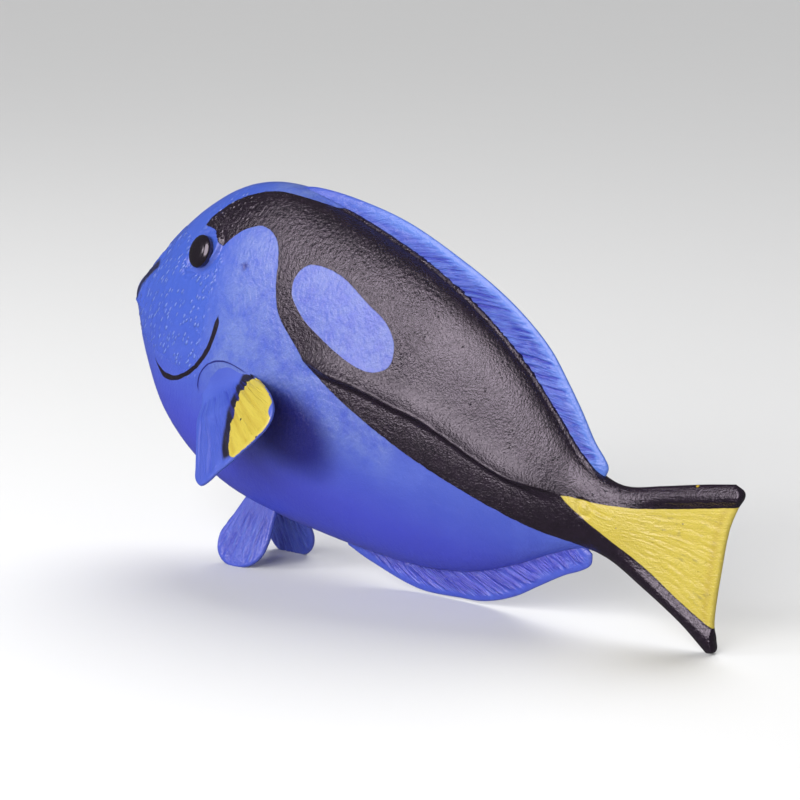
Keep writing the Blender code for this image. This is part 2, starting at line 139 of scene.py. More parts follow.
# Pectoral fin: its base on the flank, its plane, and in that plane its outline, yellow patch and soot
PECTORAL_BASE = Vector((40.9, 14.8, -6.1))
PECTORAL_ALONG = Vector((0.716, 0.0, 0.698))
PECTORAL_OUT = Vector((0.609, 0.487, -0.625))
PECTORAL_ROOT = (-7.8, 4.6)
PECTORAL_OUTLINE = ((-9.1, 17.5), (-9.2, 20.4), (-7.4, 22.8), (-4.5, 22.9), (-1.0, 22.0), (2.6, 21.4),
                    (6.2, 20.5), (9.6, 19.7), (12.5, 18.8), (15.1, 17.7), (16.9, 16.0), (17.6, 13.9),
                    (17.2, 11.4), (16.0, 8.7), (14.4, 6.4), (12.3, 4.4), (10.3, 2.9))
PECTORAL_YELLOW = ((10.3, 3.1), (13.0, 4.2), (15.0, 6.3), (16.6, 9.1), (17.4, 11.6), (17.6, 13.7),
                   (17.0, 15.7), (15.2, 17.9), (12.2, 19.3), (9.0, 20.2), (6.3, 20.8), (4.0, 19.9),
                   (3.2, 17.5), (3.5, 14.6), (4.3, 12.0), (5.0, 9.4), (6.2, 6.7), (7.6, 4.5))
SOOT_EDGE = ((9.8, 1.4), (7.2, 3.5), (5.6, 6.2), (4.4, 9.0), (3.6, 11.9), (2.9, 14.6), (2.6, 17.6),
             (3.0, 19.4))
PECTORAL_TEAR = (17.0, 14.0)
PECTORAL_THICK = 1.8
PECTORAL_SWELL = 0.3
PECTORAL_SUNK = 0.3
PECTORAL_CUP = 1.2
PECTORAL_GRID = (190, 110)
SWELL_REACH = 7.0

# Every fin: how deep its root is sunk, and how wide its rim is rounded off
ROOT_DEPTH = 4.5
FOOT_SUNK = 0.6
ROOT_LEAN = 1.5
MIDLINE_RIM = 1.3
PADDLE_RIM = 0.7

# Pelvic fins: base on the belly, tips, and the outline of one paddle as (across, along)
PELVIC_BASE = Vector((51.2, 3.4, -34.4))
PELVIC_TIPS = {"left": Vector((51.4, -8.9, -49.6)), "right": Vector((57.2, 8.9, -48.0))}
PELVIC_ROOT = (-3.9, 3.9)
PELVIC_OUTLINE = ((-6.9, 6.5), (-8.1, 10.4), (-7.2, 14.0), (-4.9, 16.0), (-2.0, 16.5),
                  (1.4, 15.6), (4.2, 13.6), (5.8, 10.6), (6.0, 7.0))
PELVIC_THICK = 2.1
PELVIC_GRID = (110, 70)

# Fin rays on the mid-plane: s where the ray leaves the body, then s and h of its tip
DORSAL_RAYS = ((34.0, 38.5, 39.3), (40.0, 45.5, 41.5), (50.0, 57.3, 42.6), (62.0, 71.5, 42.1),
               (74.0, 87.5, 38.8), (84.0, 98.3, 35.6), (92.0, 106.2, 32.2), (100.0, 112.8, 28.3),
               (107.0, 118.3, 23.5), (113.5, 123.4, 18.6), (119.5, 127.9, 13.8), (124.5, 131.4, 11.0),
               (127.5, 132.7, 9.3), (129.0, 132.5, 7.4))
DORSAL_THICK = 2.6
FOOT_HALF = 1.1
ANAL_RAYS = ((73.0, 74.5, -35.2), (77.0, 81.0, -36.2), (84.0, 95.0, -36.8), (90.0, 106.0, -34.0),
             (98.0, 112.5, -31.8), (107.0, 119.0, -27.6), (115.0, 124.5, -22.2),
             (122.0, 129.2, -17.6), (127.0, 133.2, -14.4), (130.0, 134.8, -12.2), (131.5, 134.4, -10.0))
ANAL_THICK = 2.4

# Eyes: place on the flank, and half of the dome's turned profile as (radius, height)
EYE_AT = 25.6
EYE_HEIGHT = 20.1
EYE_PROFILE = ((0.0, 1.75), (0.9, 1.68), (1.8, 1.45), (2.6, 1.05), (3.2, 0.5), (3.6, -0.1),
               (3.75, -0.7), (3.6, -1.4), (2.4, -2.0), (0.0, -2.2))
EYE_STRETCH = (0.93, 1.03)
EYE_STEPS = 48
EYE_TURNS = 72
RING_RADIUS = 4.1

# Small things on the flank, as (s, h)
PIT_AT = (39.3, 22.1)
# Middle of the navy painted shadow behind each side fin
NAVY_SHADE_AT = (60.5, -9.0)
SPINE_AT = (131.4, 0.4)
BARB_AT = (135.2, 0.2)

# The plug that carries a side fin: half length, and reach above and below its middle
PLUG_REACH = (8.9, 5.8, 4.5)

# Ridges, and grooves below 0, pressed into the skin: rise and half width
EYE_GROOVE = (-0.65, 0.45)
EYE_RIDGE = (0.45, 0.5)
PLUG_GROOVE = (-0.3, 0.38)
MOUTH_GROOVE = (-0.35, 0.45)
LIP_RIDGE = (0.15, 0.5)
LIP_GROOVE = (-0.25, 0.5)
SPINE_RIDGE = (0.4, 0.4)
SPINE_HOLE = (-0.2, 0.8)
BARB_RIDGE = (0.3, 0.4)
BARB_GROOVE = (-0.3, 0.35)

# Disc lights: azimuth, elevation, size, and whether the toy reflects them
KEY_LIGHT = (-48.0, 19.0, 0.32, False)
FILL_LIGHT = (-24.0, 16.0, 0.26, False)
EYE_LIGHT = (-43.0, 20.0, 0.18, True)
BACK_SPARK = (12.0, 56.0, 0.06, True)
SHEEN_LIGHT = (2.0, 27.0, 0.92, True)
EYE_LIGHT_SHARE = 1.7
LIGHTS_AIM = Vector((0.0, 0.0, 0.045))

# The light from far behind: azimuth, elevation and spread
BACK_LIGHT = (190.0, 55.0, 50.0)

# The floor: radius, where it starts to bend up, how high it goes, and its rings and spokes
FLOOR_RADIUS = 9.0
FLOOR_FLAT = 7.0
FLOOR_RISE = 2.0
FLOOR_GRID = (60, 96)


# Curves, in numpy so that whole grids are read at once

def curve(rows, x):
    """Values at x on the smooth curve through rows of (x, value, value, ...)."""
    rows = np.asarray(rows, float)
    x = np.asarray(x, float)
    at, values = rows[:, 0], rows[:, 1:]
    ahead = np.minimum(np.arange(len(at)) + 1, len(at) - 1)
    behind = np.maximum(np.arange(len(at)) - 1, 0)
    slope = (values[ahead] - values[behind]) / (at[ahead] - at[behind])[:, None]
    high = np.clip(np.searchsorted(at, x), 1, len(at) - 1)
    low = high - 1
    span = (at[high] - at[low])[..., None]
    u = (x - at[low])[..., None] / span
    result = ((2 * u ** 3 - 3 * u ** 2 + 1) * values[low] + (u ** 3 - 2 * u ** 2 + u) * span * slope[low]
              + (3 * u ** 2 - 2 * u ** 3) * values[high] + (u ** 3 - u ** 2) * span * slope[high])
    return np.moveaxis(result, -1, 0)


def outline_at(points, share):
    """Points at a share, 0 to 1, of the way along a smooth outline."""
    rows = [(i / (len(points) - 1), *p) for i, p in enumerate(points)]
    return curve(rows, share)


def step(x, low=0.0, high=1.0):
    """An S-curve from 0 at low to 1 at high."""
    x = np.clip((np.asarray(x, float) - low) / (high - low), 0.0, 1.0)
    return x * x * (3.0 - 2.0 * x)


def band(x, start, full, fade, end):
    """1 between full and fade, easing to 0 at start and at end."""
    return step(x, start, full) * (1.0 - step(x, fade, end))


def rounded(x):
    """A quarter circle from 0 at x = 0 to 1 at x = 1."""
    return np.sqrt(1.0 - (1.0 - np.clip(x, 0.0, 1.0)) ** 2)


def hump(x, width):
    """A soft hump, 1 at x = 0."""
    return np.exp(-(np.asarray(x, float) / width) ** 2)


def pressed(x, mark):
    """A ridge or groove of (rise, half width) at x = 0."""
    rise, width = mark
    return rise * hump(x, width)


def crowded(count, pull):
    """Shares from 0 to 1, closer together towards both ends."""
    u = np.arange(count + 1) / count
    return u - pull * np.sin(2 * np.pi * u) / (2 * np.pi)


def smooth_path(points, closed=False, steps=6):
    """A polyline that passes smoothly through points."""
    points = np.asarray(points, float)
    if closed:
        points = np.concatenate([points[-2:], points, points[:3]])
    knots = np.arange(len(points))
    first, last = (2, len(points) - 3) if closed else (0, len(points) - 1)
    where = np.linspace(first, last, (last - first) * steps + 1)
    return curve(np.column_stack([knots, points]), where).T


def distance_to_path(points, path):
    """Signed distance to a path, its sign telling the side, and the share of the path passed."""
    best = np.full(len(points), 1e9)
    side = np.ones(len(points))
    passed = np.zeros(len(points))
    lengths = np.linalg.norm(np.diff(path, axis=0), axis=1)
    start = 0.0
    for a, b, length in zip(path, path[1:], lengths):
        if length < 1e-9:
            continue
        run = (b - a) / length
        away = points - a
        t = np.clip(away @ run, 0.0, length)
        gap = np.linalg.norm(away - t[:, None] * run, axis=1)
        nearer = gap < best
        best[nearer] = gap[nearer]
        turn = run[0] * away[:, 1] - run[1] * away[:, 0]
        side[nearer] = np.where(turn[nearer] < 0, -1.0, 1.0)
        passed[nearer] = (start + t[nearer]) / lengths.sum()
        start += length
    return best * side, passed


def depth_inside(points, outline):
    """Distance in from an outline's edge, negative outside it."""
    loop = np.concatenate([outline, outline[:1]])
    distance = np.abs(distance_to_path(points, loop)[0])
    inside = np.zeros(len(points), bool)
    x, y = points.T
    for a, b in zip(loop, loop[1:]):
        crosses = (a[1] > y) != (b[1] > y)
        rise = b[1] - a[1] if abs(b[1] - a[1]) > 1e-12 else 1e-12
        inside ^= crosses & (x < a[0] + (y - a[1]) / rise * (b[0] - a[0]))
    return np.where(inside, distance, -distance)


# The body's form

def section(s):
    """Back height, belly height and half width at s, with the lips blended in."""
    s = np.asarray(s, float)
    rows = [(math.sqrt(row[0] - NOSE_AT), *row[1:]) for row in PROFILE]
    top, bottom, width = curve(rows, np.sqrt(np.maximum(s - NOSE_AT, 0.0)))
    reach = np.sqrt(np.maximum(1.0 - ((s - LIPS_AT[0]) / LIPS_REACH) ** 2, 0.0))
    blend = LIPS_BLEND * reach + 1e-6

    def larger(a, b):
        """The larger of two values, rounded where they meet."""
        near = np.maximum(blend - np.abs(a - b), 0.0) / blend
        return np.maximum(a, b) + near ** 2 * blend / 4

    top = larger(top, LIPS_AT[1] + LIPS_HALF_HEIGHT * reach)
    bottom = -larger(-bottom, -LIPS_AT[1] + LIPS_HALF_HEIGHT * reach)
    return top, bottom, larger(width, LIPS_HALF_WIDTH * reach)


def flank(s, angle):
    """y and h of the right flank at an angle from the back (0) to the belly (pi)."""
    top, bottom, width = section(s)
    mid = bottom + WIDEST_AT * (top - bottom)
    reach = np.where(angle < np.pi / 2, top - mid, mid - bottom)
    return width * np.maximum(np.sin(angle), 0.0) ** SECTION_POWER, mid + reach * np.cos(angle)


def flank_width(s, h):
    """y of the right flank at s and h."""
    top, bottom, width = section(s)
    mid = bottom + WIDEST_AT * (top - bottom)
    reach = np.where(h > mid, top - mid, mid - bottom)
    return width * np.sqrt(1.0 - np.clip((h - mid) / reach, -1.0, 1.0) ** 2) ** SECTION_POWER


def arc_down(s, h):
    """Distance over the surface from the ridge of the back down to height h, at s."""
    s, h = np.broadcast_arrays(np.asarray(s, float), np.asarray(h, float))
    top, bottom, width = section(s)
    mid = bottom + WIDEST_AT * (top - bottom)
    upper, lower = top - mid, mid - bottom
    reach = np.where(h > mid, upper, lower)
    angle = np.arccos(np.clip((h - mid) / np.maximum(reach, 1e-6), -1.0, 1.0))
    total = np.zeros_like(angle)
    samples = 24
    for k in range(samples):
        part = angle * (k + 0.5) / samples
        r = np.where(part < np.pi / 2, upper, lower)
        total += np.hypot(r * np.sin(part), width * np.cos(part)) * angle / samples
    return total


def on_chart(points):
    """Flank points (s, h) as chart points (s, distance down from the ridge)."""
    points = np.asarray(points, float)
    return np.column_stack([points[:, 0], arc_down(points[:, 0], points[:, 1])])


def to_row(points):
    """Fish-frame millimetres as row-frame metres."""
    s, y, h = np.moveaxis(np.asarray(points, float), -1, 0)
    x = SNOUT.x + s * math.cos(PITCH) + h * math.sin(PITCH)
    z = SNOUT.z - s * math.sin(PITCH) + h * math.cos(PITCH)
    return np.stack([x, y + SNOUT.y, z], axis=-1) * MM


def grid_normals(points):
    """Outward directions of a half grid of the skin, rows by columns."""
    along = np.gradient(points, axis=0)
    around = np.gradient(points, axis=1)
    normal = np.cross(around, along)
    normal[:, (0, -1), 1] = 0.0
    return normal / np.maximum(np.linalg.norm(normal, axis=-1, keepdims=True), 1e-9)


# Meshes

def quads(index):
    """The four-cornered faces of a grid of vertex numbers."""
    corners = index[:-1, :-1], index[:-1, 1:], index[1:, 1:], index[1:, :-1]
    return np.stack([c.ravel() for c in corners], axis=1)


def make_piece(name, verts, faces, fields, material):
    """An object at the origin whose mesh is in the row frame, with its values at each vertex."""
    mesh = bpy.data.meshes.new(name)
    mesh.from_pydata(np.asarray(verts).tolist(), [], [list(f) for f in faces])
    work = bmesh.new()
    work.from_mesh(mesh)
    bmesh.ops.recalc_face_normals(work, faces=work.faces)
    work.to_mesh(mesh)
    work.free()
    for field, values in fields.items():
        data = mesh.attributes.new(field, "FLOAT", "POINT").data
        data.foreach_set("value", np.asarray(values, np.float32))
    mesh.materials.append(material)
    mesh.shade_smooth()
    piece = bpy.data.objects.new(name, mesh)
    bpy.context.scene.collection.objects.link(piece)
    return piece


def pillow(middle, half, across, fields):
    """A closed plate: two faces that meet all round its edge, where half is nothing."""
    rows, columns = middle.shape[:2]
    front = np.arange(rows * columns).reshape(rows, columns)
    back = front.copy()
    inner = np.zeros((rows, columns), bool)
    inner[1:-1, 1:-1] = True
    back[inner] = rows * columns + np.arange(inner.sum())
    half = np.where(inner, half, 0.0)[..., None]
    verts = np.concatenate([(middle + across * half).reshape(-1, 3), (middle - across * half)[inner]])
    faces = np.concatenate([quads(front), quads(back)[:, ::-1]])
    values = {key: np.concatenate([grid.ravel(), grid[inner]]) for key, grid in fields.items()}
    return to_row(verts), faces, values


def above_floor(verts):
    """The same vertices, with none of them under the floor."""
    verts[:, 2] = np.maximum(verts[:, 2], 0.0)
    return verts


def finish_with_nodes(piece, tree, inputs):
    """Run a Geometry Nodes tree on a piece and keep its result as a plain mesh."""
    modifier = piece.modifiers.new(tree.name, "NODES")
    modifier.node_group = tree
    for socket in tree.interface.items_tree:
        if socket.item_type == "SOCKET" and socket.in_out == "INPUT" and socket.name in inputs:
            modifier[socket.identifier] = inputs[socket.name]
    graph = bpy.context.evaluated_depsgraph_get()
    mesh = bpy.data.meshes.new_from_object(piece.evaluated_get(graph), preserve_all_data_layers=True,
                                           depsgraph=graph)
    piece.modifiers.remove(modifier)
    old = piece.data
    piece.data = mesh
    mesh.name = piece.name
    bpy.data.meshes.remove(old)
    verts = np.empty(3 * len(mesh.vertices))
    mesh.vertices.foreach_get("co", verts)
    mesh.vertices.foreach_set("co", above_floor(verts.reshape(-1, 3)).ravel())
    mesh.update()
    return piece


# Node trees

class Wire:
    """A socket that arithmetic works on; each operation adds its Math node."""

    def __init__(self, nodes, socket):
        self.nodes = nodes
        self.socket = socket

    def other_output(self, number):
        """Another output of the same node."""
        return Wire(self.nodes, self.socket.node.outputs[number])

    def math(self, operation, *values):
        """The result of a Math node."""
        return self.nodes.add("ShaderNodeMath", {"operation": operation}, dict(enumerate(values)))

    def __add__(self, other):
        return self.math("ADD", self, other)

    def __sub__(self, other):
        return self.math("SUBTRACT", self, other)

    def __rsub__(self, other):
        return self.math("SUBTRACT", other, self)

    def __mul__(self, other):
        return self.math("MULTIPLY", self, other)

    def __truediv__(self, other):
        return self.math("DIVIDE", self, other)

    def __abs__(self):
        return self.math("ABSOLUTE", self)

    __radd__ = __add__
    __rmul__ = __mul__

    def at_least(self, other):
        """The larger of the two."""
        return self.math("MAXIMUM", self, other)

    def at_most(self, other):
        """The smaller of the two."""
        return self.math("MINIMUM", self, other)

    def sine(self):
        """Its sine, in radians."""
        return self.math("SINE", self)

    def ease(self, low, high, start=0.0, end=1.0):
        """An S-curve from start at low to end at high."""
        inputs = {"Value": self, "From Min": low, "From Max": high, "To Min": start, "To Max": end}
        return self.nodes.add("ShaderNodeMapRange", {"interpolation_type": "SMOOTHSTEP"}, inputs)


class Nodes:
    """Adds nodes to one tree."""

    def __init__(self, tree):
        self.tree = tree

    def add(self, kind, settings=None, inputs=None, output=0):
        """Add a node: its settings first, then values or links of its sockets, then its output."""
        node = self.tree.nodes.new(kind)
        for key, value in (settings or {}).items():
            setattr(node, key, value)
        for key, value in (inputs or {}).items():
            if isinstance(value, Wire):
                self.tree.links.new(value.socket, node.inputs[key])
            else:
                node.inputs[key].default_value = value
        return Wire(self, node.outputs[output]) if len(node.outputs) else node

    def field(self, name):
        """A value that the mesh keeps at its vertices."""
        if self.tree.bl_idname == "ShaderNodeTree":
            return self.add("ShaderNodeAttribute", {"attribute_name": name}, None, 2)
        return self.add("GeometryNodeInputNamedAttribute", {"data_type": "FLOAT"}, {"Name": name})

    def mix(self, factor, low, high):
        """Colours low and high mixed by a factor."""
        low, high = (c if isinstance(c, Wire) else (*c, 1.0) for c in (low, high))
        return self.add("ShaderNodeMix", {"data_type": "RGBA"}, {0: factor, 6: low, 7: high}, 2)

    def layers(self, colour, *coats):
        """A colour with each coat, a factor and a colour, laid over it in turn."""
        for factor, coat in coats:
            colour = self.mix(factor, colour, coat)
        return colour

    def vector(self, x=0.0, y=0.0, z=0.0):
        """Three values as one vector."""
        return self.add("ShaderNodeCombineXYZ", None, {0: x, 1: y, 2: z})

    def noise(self, scale, detail=2.0, roughness=0.5, vector=None):
        """Noise from 0 to 1, its scale in features to the metre."""
        inputs = {"Scale": scale, "Detail": detail, "Roughness": roughness}
        if vector is not None:
            inputs["Vector"] = vector
        return self.add("ShaderNodeTexNoise", None, inputs)

    def streaks(self, x, y, z=0.0, detail=2.0, roughness=0.5):
        """Noise read at values that stretch it differently each way."""
        return self.noise(1.0, detail, roughness, self.vector(x, y, z))


def new_geometry_tree(name, sizes):
    """A Geometry Nodes tree with named inputs: the tree, its nodes and its inputs."""
    tree = bpy.data.node_groups.new(name, "GeometryNodeTree")
    new_socket = tree.interface.new_socket
    new_socket(name="Geometry", in_out="OUTPUT", socket_type="NodeSocketGeometry")
    new_socket(name="Geometry", in_out="INPUT", socket_type="NodeSocketGeometry")
    for label, default in sizes.items():
        new_socket(name=label, in_out="INPUT", socket_type="NodeSocketFloat").default_value = default
    new_socket(name="Material", in_out="INPUT", socket_type="NodeSocketMaterial")
    nodes = Nodes(tree)
    group = tree.nodes.new("NodeGroupInput")
    return tree, nodes, {output.name: Wire(nodes, output) for output in group.outputs if output.name}


def end_with_relief(nodes, wires, relief):
    """Move each vertex out by the relief, keep that in the field relief_mm, and close the tree."""
    geometry = nodes.add("GeometryNodeStoreNamedAttribute", {"data_type": "FLOAT", "domain": "POINT"},
                         {"Geometry": wires["Geometry"], "Name": "relief_mm", "Value": relief})
    normal = nodes.add("GeometryNodeInputNormal")
    offset = nodes.add("ShaderNodeVectorMath", {"operation": "SCALE"}, {0: normal, "Scale": relief * MM})
    geometry = nodes.add("GeometryNodeSetPosition", None, {"Geometry": geometry, "Offset": offset})
    geometry = nodes.add("GeometryNodeRealizeInstances", None, {0: geometry})
    geometry = nodes.add("GeometryNodeSetMaterial", None,
                         {"Geometry": geometry, "Material": wires["Material"]})
    nodes.add("NodeGroupOutput", None, {0: geometry})


def cast_relief_tree():
    """The moulded surface of the skin: pebbled cheeks, creases, soft dents and the tail's rays."""
    tree, nodes, wires = new_geometry_tree("cast_relief", {
        "Pebble Size": 1.2, "Pebble Rise": 0.2, "Crease Rise": 0.22, "Dent Depth": 0.1,
        "Ray Count": 13.0, "Ray Rise": 0.22})
    s, down, across = (nodes.field(name) for name in ("s_mm", "down_mm", "ray_across"))
    size = wires["Pebble Size"]
    pebbles = nodes.streaks(s / size, down / (size * 1.7), detail=1.0, roughness=0.4).ease(0.48, 0.7)
    drawn = nodes.streaks(s * 0.75, down * 0.2, roughness=0.55)
    dents = nodes.noise(1.0 / (7.0 * MM)) * 0.6 + nodes.noise(1.0 / (2.2 * MM)) * 0.4
    wander = nodes.streaks(s * 0.12, across * 9.0)
    phase = across * wires["Ray Count"] + wander * 2.6
    fine = nodes.streaks(s * 0.16, across * 60.0, roughness=0.6)
    rays = (phase * 2.0 * math.pi).sine() * 0.4 + (fine - 0.5) * 2.4
    end_with_relief(nodes, wires, (
        pebbles * wires["Pebble Rise"] * nodes.field("pebbled")
        + (drawn - 0.5) * 2.0 * wires["Crease Rise"] * nodes.field("creased")
        + (dents - 0.5) * 2.0 * wires["Dent Depth"] * nodes.field("dented")
        + rays * wires["Ray Rise"] * nodes.field("rayed")))
    return tree


def fin_rays_tree():
    """Rays raised on both faces of a fin, from its foot to a smooth rim."""
    tree, nodes, wires = new_geometry_tree("fin_rays", {
        "Ray Count": 46.0, "Ray Rise": 0.2, "Wander": 1.0, "Wrinkle Rise": 0.2, "Rim Width": 2.4,
        "Seed": 0.0})
    across, along, wrinkled = (nodes.field(name) for name in ("across", "along", "wrinkled"))
    seed = wires["Seed"]
    wander = nodes.streaks(across * 14.0, along * 1.0, seed)
    phase = across * wires["Ray Count"] + (wander - 0.5) * 3.0 * wires["Wander"]
    main = (phase * 2.0 * math.pi).sine()
    fine = nodes.streaks(phase * 1.7, along * 0.9, seed + 7.0, roughness=0.6)
    crumple = nodes.streaks(phase * 0.9, along * 4.0, seed + 19.0, roughness=0.6)
    rays = main * 0.25 + (fine - 0.5) * 5.0
    wrinkles = (crumple - 0.5) * 3.4 * wires["Wrinkle Rise"]
    edge = wires["Rim Width"] * (0.6 + nodes.streaks(phase * 0.8, 0.0, seed) * 0.8)
    inside = nodes.field("rim_mm").ease(edge * 0.4, edge) * nodes.field("foot_mm").ease(1.6, 3.2)
    end_with_relief(nodes, wires,
                    inside * (rays * wires["Ray Rise"] * (1.0 - wrinkled) + wrinkles * wrinkled))
    return tree


# Finishes

class Paint:
    """A Principled material in the making, with crisp edges between its colours."""

    def __init__(self, name, gloss=1.0):
        self.material = bpy.data.materials.new(name)
        self.material.use_nodes = True
        tree = self.material.node_tree
        self.shader = tree.nodes["Principled BSDF"]
        self.shader.inputs["Specular IOR Level"].default_value = gloss
        self.shader.inputs["Specular Tint"].default_value = SPECULAR_TINT
        self.nodes = Nodes(tree)
        self.place = self.nodes.add("ShaderNodeTexCoord", None, None, 3)

    def noise(self, size_mm, detail=2.0, roughness=0.5):
        """Noise from 0 to 1 whose features are about size_mm wide."""
        return self.nodes.noise(1.0 / (size_mm * MM), detail, roughness, self.place)

    def specks(self, spacing_mm, radius, kept):
        """Scattered dots: a share, 0 to 1, of the cells of a grid of spacing_mm has one."""
        inputs = {"Vector": self.place, "Scale": 1.0 / (spacing_mm * MM)}
        distance = self.nodes.add("ShaderNodeTexVoronoi", None, inputs)
        lot = distance.other_output(1)
        return distance.ease(radius, radius * 0.6) * lot.ease(kept, kept + 0.01)

    def finish(self, colour, roughness, height, strength, depth_mm):
        """Link colour, roughness and bump."""
        bump = self.nodes.add("ShaderNodeBump", None,
                              {"Strength": strength, "Distance": depth_mm * MM, "Height": height})
        for name, wire in (("Base Color", colour), ("Roughness", roughness), ("Normal", bump)):
            self.nodes.tree.links.new(wire.socket, self.shader.inputs[name])
        return self.material


def blue_coat(paint, colours):
    """The blue with the slight clouding of sprayed paint."""
    cloud = paint.noise(9.0, 3.0, 0.55)
    return paint.nodes.mix(cloud.ease(0.35, 0.7) * 0.25, colours.blue, colours.blue_light)


def skin_material(colours):
    """The skin's paint: blue, black saddle, oval, yellow tail and the fine painted lines."""
    paint = Paint("skin_paint")
    nodes, field = paint.nodes, paint.nodes.field
    s, down = field("s_mm"), field("down_mm")
    ragged = (paint.noise(1.6, 2.0, 0.6) - 0.5) * 0.35

    oval = (field("oval_mm") + ragged * 0.6).ease(-0.07, 0.07)
    yellow = (field("yellow_mm") + ragged * 0.6).ease(-0.07, 0.07)
    black = (field("black_mm") + ragged).ease(-0.07, 0.07) * (1.0 - oval)

    # Lighter blue on the tips of the cheek's pebbles is a painted glint
    cells = {"Vector": nodes.vector(s * 0.92, down * 0.62), "Scale": 1.0}
    bead = nodes.add("ShaderNodeTexVoronoi", None, cells)
    beads = bead.ease(0.42, 0.12) * bead.other_output(1).ease(0.2, 0.3) * field("pebbled")
    # A pale cloudy coat over gill and flank: partly thinner paint, partly a painted sheen
    thin_and_sheen = paint.noise(3.4, 4.0, 0.66).ease(0.25, 0.7) * field("thin_and_sheen")
    # The navy laid behind each side fin is a painted shadow of the fin
    blue = nodes.layers(blue_coat(paint, colours),
                        (field("azure"), colours.blue_head), (field("violet"), colours.blue_belly),
                        (beads * 0.6, colours.blue_glint), (thin_and_sheen, colours.blue_pale),
                        (field("painted_fin_shadow"), colours.navy), (field("pit"), colours.navy))

    dusty = paint.noise(2.4, 4.0, 0.65).ease(0.35, 0.75)
    flecks = paint.specks(3.4, 0.15, 0.8) * field("flecked")
    dark = nodes.layers(colours.black, (dusty * 0.6, colours.black_light), (flecks, colours.yellow_deep))

    grain = nodes.streaks(s * 0.3, field("ray_across") * 40.0, detail=3.0, roughness=0.6)
    grime = grain.ease(0.5, 0.36) * paint.noise(2.6, 2.0, 0.6).ease(0.5, 0.66) * field("rayed")
    # Deeper yellow in the tail's recesses is painted shade
    groove_shade = (0.0 - field("relief_mm")).ease(0.0, 0.3)
    gold = nodes.layers(colours.yellow, (paint.noise(5.0, 3.0, 0.6), colours.yellow_light),
                        (groove_shade * 0.7, colours.yellow_deep), (field("tail_rim"), colours.yellow_deep),
                        (grime * 0.5, colours.groove), (paint.specks(3.0, 0.1, 0.66), colours.groove))

    share = field("smile_share")
    half_width = ((0.66 - share.ease(0.5, 1.0) * 0.2) * share.ease(0.0, 0.06)
                  * (1.0 - share).ease(0.0, 0.36))
    line = (half_width - abs(field("smile_mm") + ragged * 0.4)).ease(-0.05, 0.05)
    # The navy line along the plug's seam is painted shade in its groove
    seam = (0.2 - abs(field("seam_mm") + ragged * 0.3)).ease(-0.12, 0.12) * field("seam_fade")
    # Black along the front of the snout above the lips is painted shade
    colour = nodes.layers(blue, (black, dark), (yellow, gold), (line, colours.black),
                          (seam, colours.navy), (field("lip_shade") * 0.9, colours.black))

    pinholes = paint.specks(2.2, 0.12, 0.5) * black
    glint = paint.noise(1.8, 2.0, 0.6).ease(0.46, 0.58)
    rubbed = paint.noise(1.1, 2.0, 0.6).ease(0.46, 0.6)
    rough = (0.37 + (paint.noise(3.0, 3.0, 0.6) - 0.5) * 0.14 - black * 0.14 + yellow * 0.2
             + field("glossy") * (0.1 - glint * 0.4) - field("brushed") * black * 0.1
             + field("fold_dust") * 0.1 + pinholes * 0.4 - field("fold_ridge") * rubbed * 0.26
             - field("pebbled") * 0.16)
    leather = nodes.streaks(s * 1.1, down * 0.7, detail=3.0, roughness=0.62)
    brushed = nodes.streaks(s * 0.22, down * 1.5, detail=3.0, roughness=0.6) * field("brushed")
    height = (paint.noise(0.42, 2.0, 0.6) * (0.5 + black * 0.7) + leather * 1.1 + brushed * 1.2
              - pinholes * 1.6 + beads * 3.0 + leather * field("thin_and_sheen") * 3.0)
    return paint.finish(colour, rough.at_least(0.08), height, 0.8, 0.16)


def fin_material(colours):
    """Blue fins: a lighter rubbed rim, painted shade in the grooves and between the rays, and painted
    highlights on their crests.
    """
    paint = Paint("fin_paint")
    nodes, field = paint.nodes, paint.nodes.field
    relief, deep, rim_mm, pale = (field(name) for name in ("relief_mm", "deep", "rim_mm", "pale_rim"))
    haze = paint.noise(2.6, 4.0, 0.66).ease(0.42, 0.7) * pale
    ragged = (paint.noise(2.2, 2.0, 0.6) - 0.5) * 2.4
    rim = (rim_mm + ragged).ease(3.2, 1.2) * pale
    strands = nodes.streaks(field("run_mm") * 1.6, field("along") * 3.0, detail=3.0, roughness=0.65)
    rayed = rim_mm.ease(0.8, 2.6) * (1.0 - field("wrinkled") * 0.6)
    colour = nodes.layers(blue_coat(paint, colours),
                          (deep, colours.blue_belly), (haze * 0.4, colours.rim), (rim * 0.7, colours.rim),
                          # Deep blue in the recesses and between the strands is painted shade; rim blue on
                          # the strands' crests and light blue on raised relief are painted highlights
                          ((0.0 - relief).ease(0.02, 0.2) * 0.8, colours.blue_deep),
                          (strands.ease(0.48, 0.38) * rayed * 0.75, colours.blue_deep),
                          (strands.ease(0.56, 0.66) * rayed * (0.6 - deep * 0.3), colours.rim),
                          (relief.ease(0.08, 0.25) * (0.4 - deep * 0.15), colours.blue_light))
    height = (paint.noise(0.6, 3.0, 0.6) * 1.1 + paint.noise(2.4, 2.0, 0.5) * 0.9
              + (strands - 0.5) * rayed * 3.6)
    rough = 0.34 + (paint.noise(3.0, 3.0, 0.6) - 0.5) * 0.16
    return paint.finish(colour, rough, height, 0.8, 0.18)


